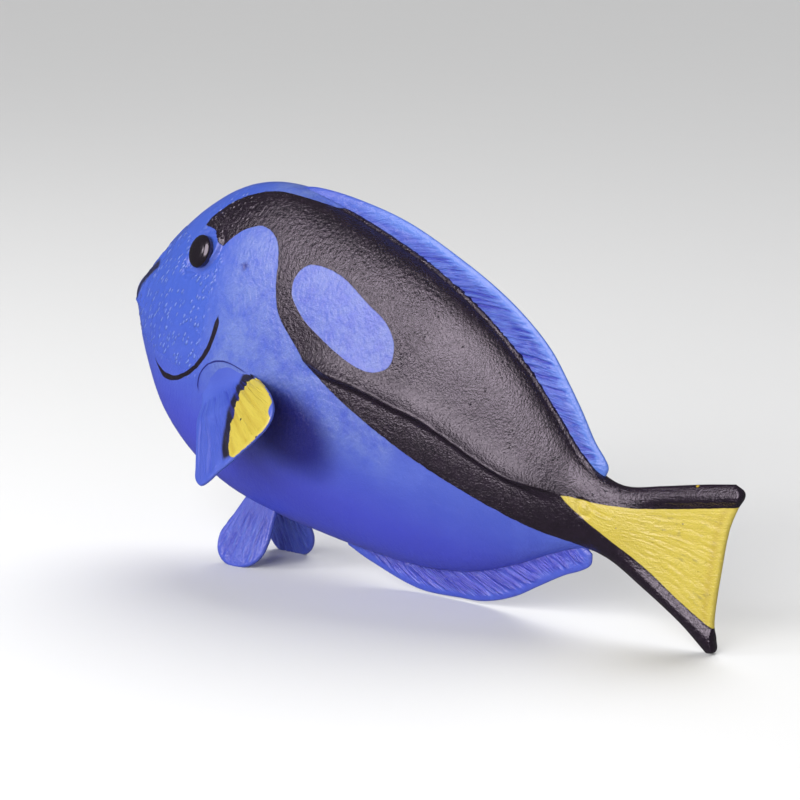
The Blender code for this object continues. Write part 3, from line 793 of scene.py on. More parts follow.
def pectoral_material(colours):
    """The side fins: blue, a sooty band and a yellow patch with blue left round its edge."""
    paint = Paint("pectoral_paint")
    nodes, field = paint.nodes, paint.nodes.field
    relief, along = field("relief_mm"), field("along")
    ragged = (paint.noise(1.3, 2.0, 0.6) - 0.5) * 0.5
    yellow = (field("yellow_mm") + ragged + relief * 1.2 - field("torn")).ease(-0.08, 0.08)
    soot = (field("sooty") * (0.8 + paint.noise(0.8, 3.0, 0.6) * 0.9)).at_most(1.0)
    gold = nodes.layers(colours.yellow, (paint.noise(4.0, 3.0, 0.6), colours.yellow_light),
                        # Deep yellow in the fin's recesses is painted shade
                        ((0.0 - relief).ease(0.0, 0.22) * 0.7, colours.yellow_deep),
                        (paint.specks(3.4, 0.12, 0.6), colours.soot))
    # Deep blue in the fin's recesses is painted shade; the soot band is paint
    colour = nodes.layers(blue_coat(paint, colours), (soot, colours.soot),
                          ((0.0 - relief).ease(0.02, 0.2) * 0.4, colours.blue_deep), (yellow, gold))
    strands = nodes.streaks(field("across") * 60.0, along * 2.5, detail=3.0, roughness=0.6)
    height = (paint.noise(0.7, 3.0, 0.6) * 0.6 + paint.noise(2.4, 2.0, 0.5) * 0.4
              + (strands - 0.5) * field("rim_mm").ease(0.8, 2.0) * along.ease(0.3, 0.6) * 4.0)
    rough = 0.4 + (paint.noise(3.0, 3.0, 0.6) - 0.5) * 0.16
    return paint.finish(colour, rough, height, 0.7, 0.16)


def eye_material(colours):
    """Gloss black with the faint orange peel of thick lacquer."""
    paint = Paint("eye_paint")
    cloud = paint.noise(1.5, 2.0, 0.5)
    colour = paint.nodes.mix(cloud, colours.eye, colours.black)
    return paint.finish(colour, 0.15 + cloud * 0.06, paint.noise(0.9, 2.0, 0.5), 0.25, 0.05)


def floor_material(colours):
    """Pale paper with a faint mottle."""
    paint = Paint("pale_paper", 0.2)
    cloud = paint.noise(60.0, 3.0, 0.5)
    colour = paint.nodes.mix(cloud * 0.15, colours.floor, colours.floor_mottle)
    return paint.finish(colour, 0.75 + cloud * 0.15, paint.noise(0.8, 2.0, 0.5), 0.1, 0.05)


# The skin

def skin_stations():
    """s of each ring from the lips to the end of the stalk."""
    front = LIPS_AT[0] - LIPS_REACH
    stations = [front + 0.05 * k * k for k in range(1, 6)]
    for end, spacing in RING_SPACING:
        count = max(1, round((end - stations[-1]) / spacing))
        start = stations[-1]
        stations += [start + (end - start) * (k + 1) / count for k in range(count)]
    return np.array(stations)


def skin_half():
    """The right half of the skin: its points, each row's share of the tail, and its angles."""
    share = np.arange(HALF_COLUMNS + 1) / HALF_COLUMNS
    angle = np.pi * share - COLUMN_WARP * np.sin(4 * np.pi * share)
    s = skin_stations()[:, None]
    y, h = flank(s, angle[None, :])
    body = np.stack([np.broadcast_to(s, y.shape), y, h], axis=-1)

    u = 1.0 - (1.0 - np.arange(1, TAIL_ROWS + 1) / TAIL_ROWS) ** 1.5
    nominal = CAUDAL_AT + u[:, None] * (PROFILE[-1][0] - CAUDAL_AT)
    oval, h = flank(nominal, angle[None, :])
    height_share = np.cos(angle)[None, :]
    trailing = curve(TRAILING_EDGE, height_share)[0]
    s = CAUDAL_AT + u[:, None] * (trailing - CAUDAL_AT)
    inside = depth_inside(np.column_stack([s.ravel(), h.ravel()]), yellow_outline(chart=False))
    outside = np.clip(-inside.reshape(s.shape), 0.0, None)
    top, bottom, _ = section(nominal)
    to_edge = np.minimum(top - h, h - bottom) * np.abs(np.sin(angle))[None, :] ** 0.2
    across = outside / np.maximum(outside + to_edge, 0.3)
    lobe = MEMBRANE_HALF_THICK + (LOBE_HALF_THICK - MEMBRANE_HALF_THICK) * step(across, 0.0, 0.45)
    fan = lobe * rounded(to_edge / LOBE_RIM)
    y = (oval + (fan - oval) * step(u[:, None] * 1.7)) * rounded((trailing - s) / EDGE_ROUND)
    y[:, (0, -1)] = 0.0
    tail = np.stack([s, y, h], axis=-1)
    points = np.concatenate([body, tail])
    shares = np.concatenate([np.zeros(len(body)), u])
    return points, shares, angle


def yellow_outline(chart=True):
    """The yellow wedge of stalk and tail, closed behind the trailing edge."""
    upper, lower = smooth_path(YELLOW_UPPER), smooth_path(YELLOW_LOWER)
    beyond = np.array([(175.0, upper[-1, 1] + 1.5), (175.0, lower[-1, 1] - 1.5)])
    outline = np.concatenate([upper, beyond, lower[:0:-1]])
    return on_chart(outline) if chart else outline


def black_outline():
    """The black saddle on the chart, closed over the back and behind the tail."""
    front = on_chart(smooth_path(BLACK_FRONT))
    nape = smooth_path(BLACK_NAPE)
    beyond = np.array([(136.5, 70.0), (190.0, 70.0), (190.0, -8.0), (58.0, -8.0)])
    return np.concatenate([front, beyond, nape[::-1]])


def fold_push(s, down, depth_mm):
    """How far the fold along the flank moves the skin out, and where its dust and its ridge lie."""
    x = down - arc_down(s, curve(FOLD_LINE, s)[0])
    run = (s - FOLD_FROM) / (FOLD_TO - FOLD_FROM)
    depth = depth_mm * step(5.5 * run) * step(5 * (1 - run))
    above, below = np.minimum(x, 0.0), np.maximum(x - 2.4, 0.0)
    upper = -sum(share * np.exp(above / reach) for share, reach in FOLD_ABOVE)
    lower = (FOLD_RIDGE * step(x, 1.0, 2.4) * np.exp(-below / 3.0)
             - sum(share * (1.0 - step(x, start, end)) for share, start, end in FOLD_BELOW))
    folded = np.minimum(depth, 1.0)
    return depth * np.where(x < 0, upper, lower), {
        "fold_dust": folded * np.exp(above / 5.0) * (x < 0.6), "fold_ridge": folded * hump(x - 1.7, 0.8)}


def plug_push(s, down, rise_mm):
    """How far the side fin's plug and its seam move the skin out, and where the seam lies."""
    base = on_chart([(PECTORAL_BASE.x, PECTORAL_BASE.z)])[0]
    ds, dh = s - base[0], base[1] - down
    along = PECTORAL_ALONG.x * ds + PECTORAL_ALONG.z * dh
    above = PECTORAL_ALONG.x * dh - PECTORAL_ALONG.z * ds
    half_length, up, low = PLUG_REACH
    swollen = 1.0 - np.hypot(along / half_length, above / np.where(above > 0, up, low)) ** 2
    chart = np.column_stack([s.ravel(), down.ravel()])
    seam, passed = distance_to_path(chart, smooth_path(on_chart(PLUG_SEAM)))
    seam, passed = seam.reshape(s.shape), passed.reshape(s.shape)
    fade = band(passed, 0.0, 0.12, 0.88, 1.0)
    push = rise_mm * np.clip(swollen, 0.0, 1.0) ** 1.5 + pressed(seam, PLUG_GROOVE) * fade
    return push, {"seam_mm": seam, "seam_fade": fade}


def from_spot(spot, s, down):
    """Distance over the flank from a spot given as (s, h)."""
    at = on_chart([spot])[0]
    return np.hypot(s - at[0], down - at[1])


def shape_skin(points, shares, sizes):
    """Press the fold, fillets, eye ring, plug and lips into the half skin."""
    s, _, h = np.moveaxis(points, -1, 0)
    down = arc_down(s, h)
    to_belly = arc_down(s, section(s)[1]) - down
    push, fields = fold_push(s, down, sizes.fold_depth / MM)

    from_ring = from_spot((EYE_AT, EYE_HEIGHT), s, down) - RING_RADIUS
    push += pressed(from_ring, EYE_GROOVE) + pressed(from_ring - 1.0, EYE_RIDGE)
    plug, seam = plug_push(s, down, sizes.plug_rise / MM)
    push += plug
    fields.update(seam)

    push += pressed(h - MOUTH_HEIGHT, MOUTH_GROOVE) * band(s, 2.4, 3.4, 6.6, 8.0)
    push += (pressed(s - 5.4, LIP_RIDGE) + pressed(s - 6.6, LIP_GROOVE)) * band(h, -0.8, 0.4, 4.4, 5.6)

    from_spine = from_spot(SPINE_AT, s, down)
    push += pressed(from_spine - 1.5, SPINE_RIDGE) + pressed(from_spine, SPINE_HOLE)
    barb = down - on_chart([BARB_AT])[0][1]
    push += (pressed(barb + 0.6, BARB_RIDGE) + pressed(barb, BARB_GROOVE)) * hump(s - BARB_AT[0], 2.0)

    moved = points + grid_normals(points) * push[..., None]
    back = sizes.crease_rise / MM * band(s, 41.0, 54.0, 128.0, 132.0)
    belly = 0.3 * band(s, 76.0, 88.0, 127.0, 133.0)
    fillet = back * hump(np.maximum(down - FOOT_HALF, 0.0), 0.35) - belly * np.exp(-to_belly / 1.3)
    moved[..., 2] += np.where((shares == 0.0)[:, None], fillet, 0.0)
    moved[:, (0, -1), 1] = 0.0
    return moved, down, fields


def skin_fields(points, shares, angle, down):
    """Where each paint and each moulded texture lies on the half skin."""
    s, _, h = np.moveaxis(points, -1, 0)
    chart = np.column_stack([s.ravel(), down.ravel()])
    flat = np.column_stack([s.ravel(), h.ravel()])

    def spread(values):
        """Values at each point, back as the grid."""
        return values.reshape(s.shape)

    smile, smile_share = distance_to_path(chart, smooth_path(on_chart(SMILE)))
    tail = np.broadcast_to(shares[:, None], s.shape)
    trailing = curve(TRAILING_EDGE, np.cos(angle))[0][None, :]
    left = np.where(tail > 0, trailing - s, 99.0)
    yellow = spread(depth_inside(chart, yellow_outline()))
    navy = on_chart([NAVY_SHADE_AT])[0]
    from_navy = np.hypot((s - navy[0]) / 14.0, (down - navy[1]) / 10.0)
    from_pit = from_spot(PIT_AT, s, down)
    cheek = band(s, 2.5, 6.0, 30.0, 34.0) * band(h, -11.0, -5.0, 19.0, 24.0)
    temple = hump((s - 29.0) / 6.5, 1.0) * hump((down - 10.0) / 5.5, 1.0)
    from_eye = np.hypot(s - EYE_AT, h - EYE_HEIGHT)
    return {
        "s_mm": s, "down_mm": down,
        "black_mm": spread(depth_inside(chart, black_outline())),
        "oval_mm": spread(depth_inside(chart, on_chart(smooth_path(OVAL, closed=True)))),
        "yellow_mm": yellow,
        "smile_mm": spread(smile), "smile_share": spread(smile_share),
        # painted shadow of the side fin, strongest at its middle
        "painted_fin_shadow": 0.97 * (1.0 - step(from_navy, 0.5, 1.25)),
        "azure": 0.9 * (1.0 - step(s, 30.0, 62.0)) * step(h, -12.0, 12.0),
        "violet": 0.9 * (1.0 - step(h, -24.0, -6.0)),
        # pale coat: thinner paint and a painted sheen
        "thin_and_sheen": 0.55 * band(s, 31.0, 40.0, 84.0, 90.0) * step(h, -14.0, -2.0),
        "pit": 0.9 * (1.0 - step(from_pit, 0.55, 1.1)),
        "lip_shade": 1.0 - step(spread(np.abs(distance_to_path(flat, smooth_path(LIP_SHADE))[0])), 0.5, 1.3),
        "pebbled": np.maximum(cheek, temple) * step(from_eye, 4.6, 5.6),
        "creased": hump(s - 35.0, 3.2) * band(h, -6.0, 0.0, 16.0, 24.0)
                   + 0.7 * hump(s - 119.0, 6.0) * (1.0 - step(down, 12.0, 16.0)),
        "dented": np.where(tail > 0, 0.0, 1.0) * step(s, 4.0, 10.0),
        "ray_across": np.broadcast_to((np.cos(angle) * 0.5 + 0.5)[None, :], s.shape),
        "rayed": step(tail, 0.06, 0.3) * step(yellow, 0.2, 1.6) * step(left, 1.2, 2.4),
        "tail_rim": hump(left - 2.2, 0.8) * 0.4 * step(yellow, 0.0, 0.5) * (tail > 0),
        "brushed": step(s, 124.0, 132.0),
        "flecked": step(s, 136.0, 142.0),
        "glossy": step(s, 50.0, 60.0) * hump(down - 1.35, 0.35),
    }


def make_skin(sizes, material):
    """The whole skin, closed at the lips and along the trailing edge."""
    points, shares, angle = skin_half()
    shaped, down, fields = shape_skin(points, shares, sizes)
    fields.update(skin_fields(points, shares, angle, down))
    rows, half = len(points), HALF_COLUMNS
    ring = 2 * half
    other = np.arange(half - 1, 0, -1)
    left = shaped[:, other] * np.array([1.0, -1.0, 1.0])
    verts = np.concatenate([shaped, left], axis=1)
    index = np.arange(rows * ring).reshape(rows, ring)
    last = np.arange(ring)
    index[-1] = index[-1, np.where(last > half, ring - last, last)]
    index = np.concatenate([index, index[:, :1]], axis=1)
    faces = quads(index).tolist()
    tip = rows * ring
    faces += [(tip, int(index[0, c + 1]), int(index[0, c])) for c in range(ring)]
    nose = [[LIPS_AT[0] - LIPS_REACH, 0.0, LIPS_AT[1]]]
    verts = above_floor(to_row(np.concatenate([verts.reshape(-1, 3), nose])))
    used = np.unique(np.concatenate([index.ravel(), [tip]]))
    renumber = np.zeros(tip + 1, int)
    renumber[used] = np.arange(len(used))
    faces = [[int(renumber[v]) for v in face] for face in faces]
    values = {}
    for name, grid in fields.items():
        both = np.concatenate([grid, grid[:, other]], axis=1).ravel()
        values[name] = np.append(both, grid[0, half // 2])[used]
    return make_piece("painted_skin", verts[used], faces, values, material)


# The fins

def midline_fin(name, rays, on_back, thick, grid, material, wrinkled_to):
    """The dorsal or the anal fin, on the mid-plane."""
    a, b = np.linspace(0.0, 1.0, grid[0] + 1), crowded(grid[1], 0.6)
    base_s = rays[0][0] + (rays[-1][0] - rays[0][0]) * a
    top, bottom, _ = section(base_s)
    tip = np.stack(curve(rays, base_s), axis=-1)
    foot = np.stack([base_s, top - FOOT_SUNK if on_back else bottom + FOOT_SUNK], axis=-1)
    reach = np.linalg.norm(tip - foot, axis=1)
    root = foot - (tip - foot) / reach[:, None] * ROOT_DEPTH
    root[:, 1] -= ROOT_LEAN if on_back else -ROOT_LEAN
    flat = root[:, None] + (tip - root)[:, None] * b[None, :, None]
    edge = np.concatenate([root[:1], tip, root[-1:]])
    rim = np.abs(distance_to_path(flat.reshape(-1, 2), edge)[0]).reshape(flat.shape[:2])
    half = 0.5 * thick * (1.0 - 0.6 * b[None, :]) * rounded(rim / MIDLINE_RIM)
    wrinkled = 1.0 - step(base_s, wrinkled_to, wrinkled_to + 14.0)
    pale = step(base_s, 42.0, 64.0) if on_back else np.full(a.shape, 0.3)
    fields = {"across": a[:, None], "along": b[None, :], "rim_mm": rim, "wrinkled": wrinkled[:, None],
              "foot_mm": (reach + ROOT_DEPTH)[:, None] * b[None, :] - ROOT_DEPTH, "pale_rim": pale[:, None],
              "deep": 0.0 if on_back else 1.0, "run_mm": (base_s - base_s[0])[:, None]}
    fields = {key: np.broadcast_to(values, rim.shape) for key, values in fields.items()}
    middle = np.stack([flat[..., 0], np.zeros(rim.shape), flat[..., 1]], axis=-1)
    verts, faces, values = pillow(middle, half, np.array([0.0, 1.0, 0.0]), fields)
    return make_piece(name, verts, faces, values, material)


def fin_plane(base, along, out):
    """The three directions of a fin's own plane."""
    along = np.array(along, float) / np.linalg.norm(along)
    out = np.array(out, float) / np.linalg.norm(out)
    across = np.cross(along, out)
    return np.array(base, float), along, out, across / np.linalg.norm(across)


def paddle(plane, root, outline, thick, swell, cup, grid):
    """The middle sheet, half thickness and fields of a fin in its own plane."""
    base, along, out, across = plane
    a, b = crowded(grid[0], 0.7), crowded(grid[1], 0.6)
    tip_u, tip_v = outline_at(outline, a)
    root_u = root[0] + (root[1] - root[0]) * a
    u = root_u[:, None] + (tip_u - root_u)[:, None] * b[None, :]
    v = -ROOT_DEPTH + (tip_v + ROOT_DEPTH)[:, None] * b[None, :]
    edge = np.column_stack([np.concatenate([root_u[:1], tip_u, root_u[-1:]]),
                            np.concatenate([[-ROOT_DEPTH], tip_v, [-ROOT_DEPTH]])])
    flat = np.column_stack([u.ravel(), v.ravel()])
    rim = np.abs(distance_to_path(flat, edge)[0]).reshape(u.shape)
    swollen = 1.0 + swell * (1.0 - step(v, -ROOT_DEPTH, SWELL_REACH))
    half = 0.5 * thick * swollen * (1.0 - 0.4 * b[None, :]) * rounded(rim / PADDLE_RIM)
    bow = cup * np.sin(np.pi * a)[:, None] * (b ** 2)[None, :]
    middle = base + along * u[..., None] + out * v[..., None] + across * bow[..., None]
    fields = {"across": a[:, None], "along": b[None, :], "rim_mm": rim, "foot_mm": v, "run_mm": u,
              "wrinkled": 0.0, "pale_rim": 0.0, "deep": 0.3}
    fields = {key: np.broadcast_to(values, u.shape) for key, values in fields.items()}
    return middle, half, across, flat, fields


def make_pectoral(side, sign, material):
    """One side fin with its yellow patch."""
    flip = np.array([1.0, sign, 1.0])
    plane = fin_plane(*(np.array(v) * flip for v in (PECTORAL_BASE, PECTORAL_ALONG, PECTORAL_OUT)))
    if plane[3][1] * sign < 0:
        plane = (*plane[:3], -plane[3])
    middle, half, across, flat, fields = paddle(plane, PECTORAL_ROOT, PECTORAL_OUTLINE, PECTORAL_THICK,
                                                PECTORAL_SWELL, PECTORAL_CUP, PECTORAL_GRID)
    leaves = step(fields["foot_mm"], -2.0, 7.0)
    hugging = flank_width(middle[..., 0], middle[..., 2]) - half - PECTORAL_SUNK
    middle[..., 1] = sign * (hugging + (np.abs(middle[..., 1]) - hugging) * leaves)
    u, v = flat.T.reshape(2, *half.shape)
    inside = depth_inside(flat, smooth_path(PECTORAL_YELLOW, closed=True)).reshape(half.shape)
    fields["yellow_mm"] = np.where(v < 7.0, inside - 0.1, np.minimum(inside + 0.3, fields["rim_mm"] - 0.15))
    beside = np.abs(distance_to_path(flat, smooth_path(SOOT_EDGE))[0]).reshape(half.shape)
    fields["sooty"] = (1.0 - step(beside, 1.0, 2.5)) * (1.0 - step(v, 19.0, 20.6))
    fields["torn"] = 1.6 * hump(np.hypot(u - PECTORAL_TEAR[0], v - PECTORAL_TEAR[1]), 1.1)
    verts, faces, values = pillow(middle, half, across, fields)
    return make_piece(f"painted_pectoral_{side}", verts, faces, values, material)


def make_pelvic(side, sign, material):
    """One belly fin, its tip flat on the floor."""
    base = Vector((PELVIC_BASE.x, PELVIC_BASE.y * sign, PELVIC_BASE.z))
    out = (PELVIC_TIPS[side] - base).normalized()
    along = Vector((math.cos(PITCH), 0.0, math.sin(PITCH)))
    along = (along - out * along.dot(out)).normalized()
    plane = fin_plane(base, along, out)
    middle, half, across, _, fields = paddle(plane, PELVIC_ROOT, PELVIC_OUTLINE, PELVIC_THICK,
                                             0.0, 0.0, PELVIC_GRID)
    verts, faces, values = pillow(middle, half, across, fields)
    return make_piece(f"painted_pelvic_{side}", above_floor(verts), faces, values, material)


def make_eye(side, sign, material):
    """A turned dome seated in the head."""
    top, bottom, _ = (float(value) for value in section(EYE_AT))
    mid = bottom + WIDEST_AT * (top - bottom)
    angle = math.acos((EYE_HEIGHT - mid) / (top - mid))

    def place(ds, turn):
        """A point of the flank beside the eye's middle."""
        y, h = flank(EYE_AT + ds, np.array(angle + turn))
        return np.array([EYE_AT + ds, float(y), float(h)])

    d = 0.05
    centre = place(0.0, 0.0)
    outward = np.cross(place(0.0, d) - place(0.0, -d), place(d, 0.0) - place(-d, 0.0))
    centre[1] *= sign
    outward[1] *= sign
    turn = np.array(Vector(outward).to_track_quat("Z", "Y").to_matrix())
    radius, height = outline_at(EYE_PROFILE, np.linspace(0.0, 1.0, EYE_STEPS + 1))
    spin = np.linspace(0.0, 2 * np.pi, EYE_TURNS, endpoint=False)
    wide, long = (stretch * radius[1:-1, None] for stretch in EYE_STRETCH)
    rings = np.broadcast_arrays(wide * np.cos(spin), long * np.sin(spin), height[1:-1, None])
    ring = np.stack(rings, axis=-1)
    verts = np.concatenate([ring.reshape(-1, 3), [[0, 0, height[0]], [0, 0, height[-1]]]])
    crown, foot = len(verts) - 2, len(verts) - 1
    index = np.arange(crown).reshape(-1, EYE_TURNS)
    index = np.concatenate([index, index[:, :1]], axis=1)
    first, last = index[0].tolist(), index[-1].tolist()
    faces = quads(index).tolist()
    faces += [(crown, first[k], first[k + 1]) for k in range(EYE_TURNS)]
    faces += [(foot, last[k + 1], last[k]) for k in range(EYE_TURNS)]
    return make_piece(f"glossy_eye_{side}", to_row(verts @ turn.T + centre), faces, {}, material)


# Settings, one group for each kind of thing that a user would change

def length(name, description, default_mm):
    """A length in a settings group."""
    return FloatProperty(name=name, description=description, default=default_mm * MM, min=0.0,
                         unit="LENGTH", precision=5)


def colour(name, description, default):
    """A colour in a settings group."""
    return FloatVectorProperty(name=name, description=description, default=default, min=0.0, max=1.0,
                               size=3, subtype="COLOR")


def turn(name, description, default):
    """An angle in a settings group, its default in degrees."""
    return FloatProperty(name=name, description=description, default=math.radians(default), unit="ROTATION")


def power(name, description, default):
    """A light's power in a settings group."""
    return FloatProperty(name=name, description=description, default=default, unit="POWER")


class TangSizes(bpy.types.PropertyGroup):
    """Sizes of the moulded surface"""
    fold_depth: length("Fold depth", "Depth of the fold along each flank", 3.4)
    crease_rise: length("Crease rise", "How far the back climbs the foot of the dorsal fin", 0.5)
    plug_rise: length("Plug rise", "Swell of the plug that carries each side fin", 0.9)
    pebble_size: length("Pebble size", "Width of one pebble on the cheeks", 1.2)
    pebble_rise: length("Pebble rise", "Height of one pebble on the cheeks", 0.2)
    ray_rise: length("Ray rise", "Height of a ray on the fins", 0.25)
    rim_width: length("Rim width", "Smooth rim round the fins", 2.2)


class TangColours(bpy.types.PropertyGroup):
    """Colours of the paint"""
    blue: colour("Blue", "Royal blue of the body", (0.042, 0.078, 0.42))
    blue_head: colour("Head blue", "The clearer blue of the face", (0.042, 0.09, 0.43))
    blue_belly: colour("Belly blue", "The more violet blue of the belly", (0.036, 0.046, 0.42))
    # On the fins it also lies on raised relief as a painted highlight
    blue_light: colour("Light blue", "Thin or rubbed blue", (0.1, 0.16, 0.56))
    # Partly thinner paint, partly a painted sheen where the flank reflects the light
    blue_pale: colour("Pale blue", "Thin, cloudy blue and painted sheen of gill and temple", (0.15, 0.21, 0.45))
    # Painted glints on the tips of the cheek's pebbles
    blue_glint: colour("Glint blue", "Tips of the cheek's pebbles", (0.2, 0.3, 0.74))
    # Painted shade in the grooves of the fins and between their rays
    blue_deep: colour("Deep blue", "Blue in the grooves", (0.018, 0.03, 0.34))
    # Also laid on the fins' ray crests as a painted highlight
    rim: colour("Rim blue", "Rubbed rim of the dorsal fin", (0.085, 0.19, 0.58))
    # Navy: painted shadow behind each side fin and painted shade in the plug's seam; it also colours the
    # small pit
    navy: colour("Navy", "Painted shadow behind the side fins", (0.001, 0.004, 0.14))
    black: colour("Black", "Black of the saddle and tail", (0.007, 0.004, 0.009))
    black_light: colour("Dusty black", "Thin or dusty black", (0.016, 0.009, 0.019))
    soot: colour("Soot", "Sprayed band on the side fins", (0.006, 0.006, 0.02))
    yellow: colour("Yellow", "Yellow of tail and side fins", (0.48, 0.37, 0.035))
    yellow_light: colour("Light yellow", "Thick yellow", (0.53, 0.43, 0.06))
    # In the grooves of tail and side fins this is painted shade; on the trailing band and the flecks it is
    # paint
    yellow_deep: colour("Deep yellow", "Yellow in the grooves", (0.38, 0.26, 0.02))
    groove: colour("Groove", "Grime in the grooves of the tail", (0.24, 0.2, 0.07))
    eye: colour("Eye", "Gloss black of the eyes", (0.004, 0.004, 0.005))
    floor: colour("Floor", "Pale paper under the figurine", (0.76, 0.76, 0.76))
    floor_mottle: colour("Floor mottle", "Faint mottle of the paper", (0.72, 0.725, 0.74))


class TangStudio(bpy.types.PropertyGroup):
    """Camera and lights"""
    azimuth: turn("Azimuth", "Camera's angle round the figurine", 34.903)
    elevation: turn("Elevation", "Camera's angle over the floor", 12.315)
    roll: turn("Roll", "Camera's turn about its own axis", 0.461)
    place: FloatVectorProperty(name="Place", description="Camera's place", size=3, subtype="TRANSLATION",
                               default=(0.27772, -0.40354, 0.15084))
    lens: FloatProperty(name="Lens", description="Focal length in millimetres", default=101.79)
    key: power("Key", "Power of the light on the head's side", 2.8)
    fill: power("Fill", "Power of the light between key and sheen", 1.2)
    spark: power("Spark", "Power of the smallest light, which makes glints", 0.3)
    sheen: power("Sheen", "Power of the broad light that the flank reflects", 10.0)
    sun: FloatProperty(name="Back light", description="Strength of the light from behind", default=2.4)
    sky: FloatProperty(name="Sky", description="Strength of the light all round", default=0.12)


class TangSettings(bpy.types.PropertyGroup):
    """All settings of the figurine"""
    sizes: PointerProperty(type=TangSizes)
    colours: PointerProperty(type=TangColours)
    studio: PointerProperty(type=TangStudio)


def settings():
    """The figurine's settings in this scene."""
    return bpy.context.scene.tang_settings


def material_once(name, make):
    """A material by name, made the first time."""
    return bpy.data.materials.get(name) or make(settings().colours)


def tree_once(name, make):
    """A Geometry Nodes tree by name, made the first time."""
    return bpy.data.node_groups.get(name) or make()


def place_piece(piece, slot, *nodes):
    """Let a piece ride on the body and stand for its CAD nodes."""
    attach(piece, BODY)
    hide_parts(*nodes)


class TANG_OT_skin(bpy.types.Operator):
    """Make the painted skin of head, trunk, stalk and tail"""
    bl_idname = "tang.skin"
    bl_label = "Make skin"

    def execute(self, context):
        sizes = settings().sizes
        material = material_once("skin_paint", skin_material)
        skin = make_skin(sizes, material)
        finish_with_nodes(skin, tree_once("cast_relief", cast_relief_tree), {
            "Pebble Size": sizes.pebble_size / MM, "Pebble Rise": sizes.pebble_rise / MM,
            "Ray Rise": 0.62 * sizes.ray_rise / MM, "Material": material})
        place_piece(skin, "blue_paint", "head", "trunk", "tail_stalk", "caudal_fin")
        return {"FINISHED"}


class TANG_OT_midline_fins(bpy.types.Operator):
    """Make the dorsal and the anal fin"""
    bl_idname = "tang.midline_fins"
    bl_label = "Make dorsal and anal fins"

    def execute(self, context):
        sizes = settings().sizes
        material = material_once("fin_paint", fin_material)
        tree = tree_once("fin_rays", fin_rays_tree)
        plans = (("dorsal", DORSAL_RAYS, True, DORSAL_THICK, (520, 40), 62.0, 46.0, 3.0),
                 ("anal", ANAL_RAYS, False, ANAL_THICK, (400, 36), 40.0, 27.0, 11.0))
        for name, rays, on_back, thick, grid, wrinkled_to, count, seed in plans:
            fin = midline_fin(f"painted_{name}", rays, on_back, thick, grid, material, wrinkled_to)
            finish_with_nodes(fin, tree, {
                "Ray Count": count, "Ray Rise": 1.25 * sizes.ray_rise / MM, "Seed": seed,
                "Rim Width": sizes.rim_width / MM, "Material": material})
            place_piece(fin, "blue_paint", f"{name}_fin")
        return {"FINISHED"}


class TANG_OT_side_fins(bpy.types.Operator):
    """Make the two pectoral and the two pelvic fins"""
    bl_idname = "tang.side_fins"
    bl_label = "Make pectoral and pelvic fins"

    def execute(self, context):
        sizes = settings().sizes
        tree = tree_once("fin_rays", fin_rays_tree)
        pectoral = material_once("pectoral_paint", pectoral_material)
        pelvic = material_once("fin_paint", fin_material)
        for side, sign in SIDES:
            fin = make_pectoral(side, sign, pectoral)
            finish_with_nodes(fin, tree, {
                "Ray Count": 13.0, "Ray Rise": 1.1 * sizes.ray_rise / MM, "Seed": 23.0,
                "Wander": 0.6, "Rim Width": 1.6, "Material": pectoral})
            place_piece(fin, "blue_paint", f"pectoral_fin_{side}")
            fin = make_pelvic(side, sign, pelvic)
            finish_with_nodes(fin, tree, {
                "Ray Count": 12.0, "Ray Rise": 0.9 * sizes.ray_rise / MM, "Seed": 31.0,
                "Wander": 0.3, "Rim Width": 1.4, "Material": pelvic})
            place_piece(fin, "blue_paint", f"pelvic_fin_{side}")
        return {"FINISHED"}


class TANG_OT_eyes(bpy.types.Operator):
    """Make the two eyes"""
    bl_idname = "tang.eyes"
    bl_label = "Make eyes"

    def execute(self, context):
        material = material_once("eye_paint", eye_material)
        for side, sign in SIDES:
            place_piece(make_eye(side, sign, material), "eye_gloss", f"eye_{side}")
        return {"FINISHED"}


class TANG_OT_studio(bpy.types.Operator):
    """Make the floor, the lights and the camera"""
    bl_idname = "tang.studio"
    bl_label = "Make studio"

    def execute(self, context):
        make_floor(material_once("pale_paper", floor_material))
        make_lights(settings().studio)
        make_camera(settings().studio)
        return {"FINISHED"}


def make_floor(material):
    """A floor that bends up into a backdrop all round, as one sheet."""
    rings, spokes = FLOOR_GRID
    verts = [(0.0, 0.0, 0.0)]
    for k in range(1, rings + 1):
        r = FLOOR_RADIUS * k / rings
        bend = max(0.0, r - FLOOR_FLAT) / (FLOOR_RADIUS - FLOOR_FLAT)
        z = FLOOR_RISE * (1.0 - math.cos(bend * math.pi / 2))
        verts += [(r * math.cos(2 * math.pi * j / spokes), r * math.sin(2 * math.pi * j / spokes), z)
                  for j in range(spokes)]
    faces = [(0, 1 + j, 1 + (j + 1) % spokes) for j in range(spokes)]
    for k in range(rings - 1):
        near, outer = 1 + k * spokes, 1 + (k + 1) * spokes
        faces += [(near + j, outer + j, outer + (j + 1) % spokes, near + (j + 1) % spokes)
                  for j in range(spokes)]
    mesh = bpy.data.meshes.new("studio_floor")
    mesh.from_pydata(verts, [], faces)
    mesh.materials.append(material)
    mesh.shade_smooth()
    floor = bpy.data.objects.new("studio_floor", mesh)
    floor.visible_glossy = False
    bpy.context.scene.collection.objects.link(floor)


def towards(azimuth, elevation):
    """The direction of an azimuth and an elevation, in radians."""
    return Vector((math.sin(azimuth) * math.cos(elevation), -math.cos(azimuth) * math.cos(elevation),
                   math.sin(elevation)))


def make_light(name, kind, azimuth, elevation, energy, reflected):
    """A light a metre away that faces the figurine; its data."""
    data = bpy.data.lights.new(name, kind)
    data.energy = energy
    light = bpy.data.objects.new(name, data)
    light.visible_glossy = reflected
    back = towards(math.radians(azimuth), math.radians(elevation))
    light.location = LIGHTS_AIM + back
    light.rotation_mode = "QUATERNION"
    light.rotation_quaternion = (-back).to_track_quat("-Z", "Y")
    bpy.context.scene.collection.objects.link(light)
    return data


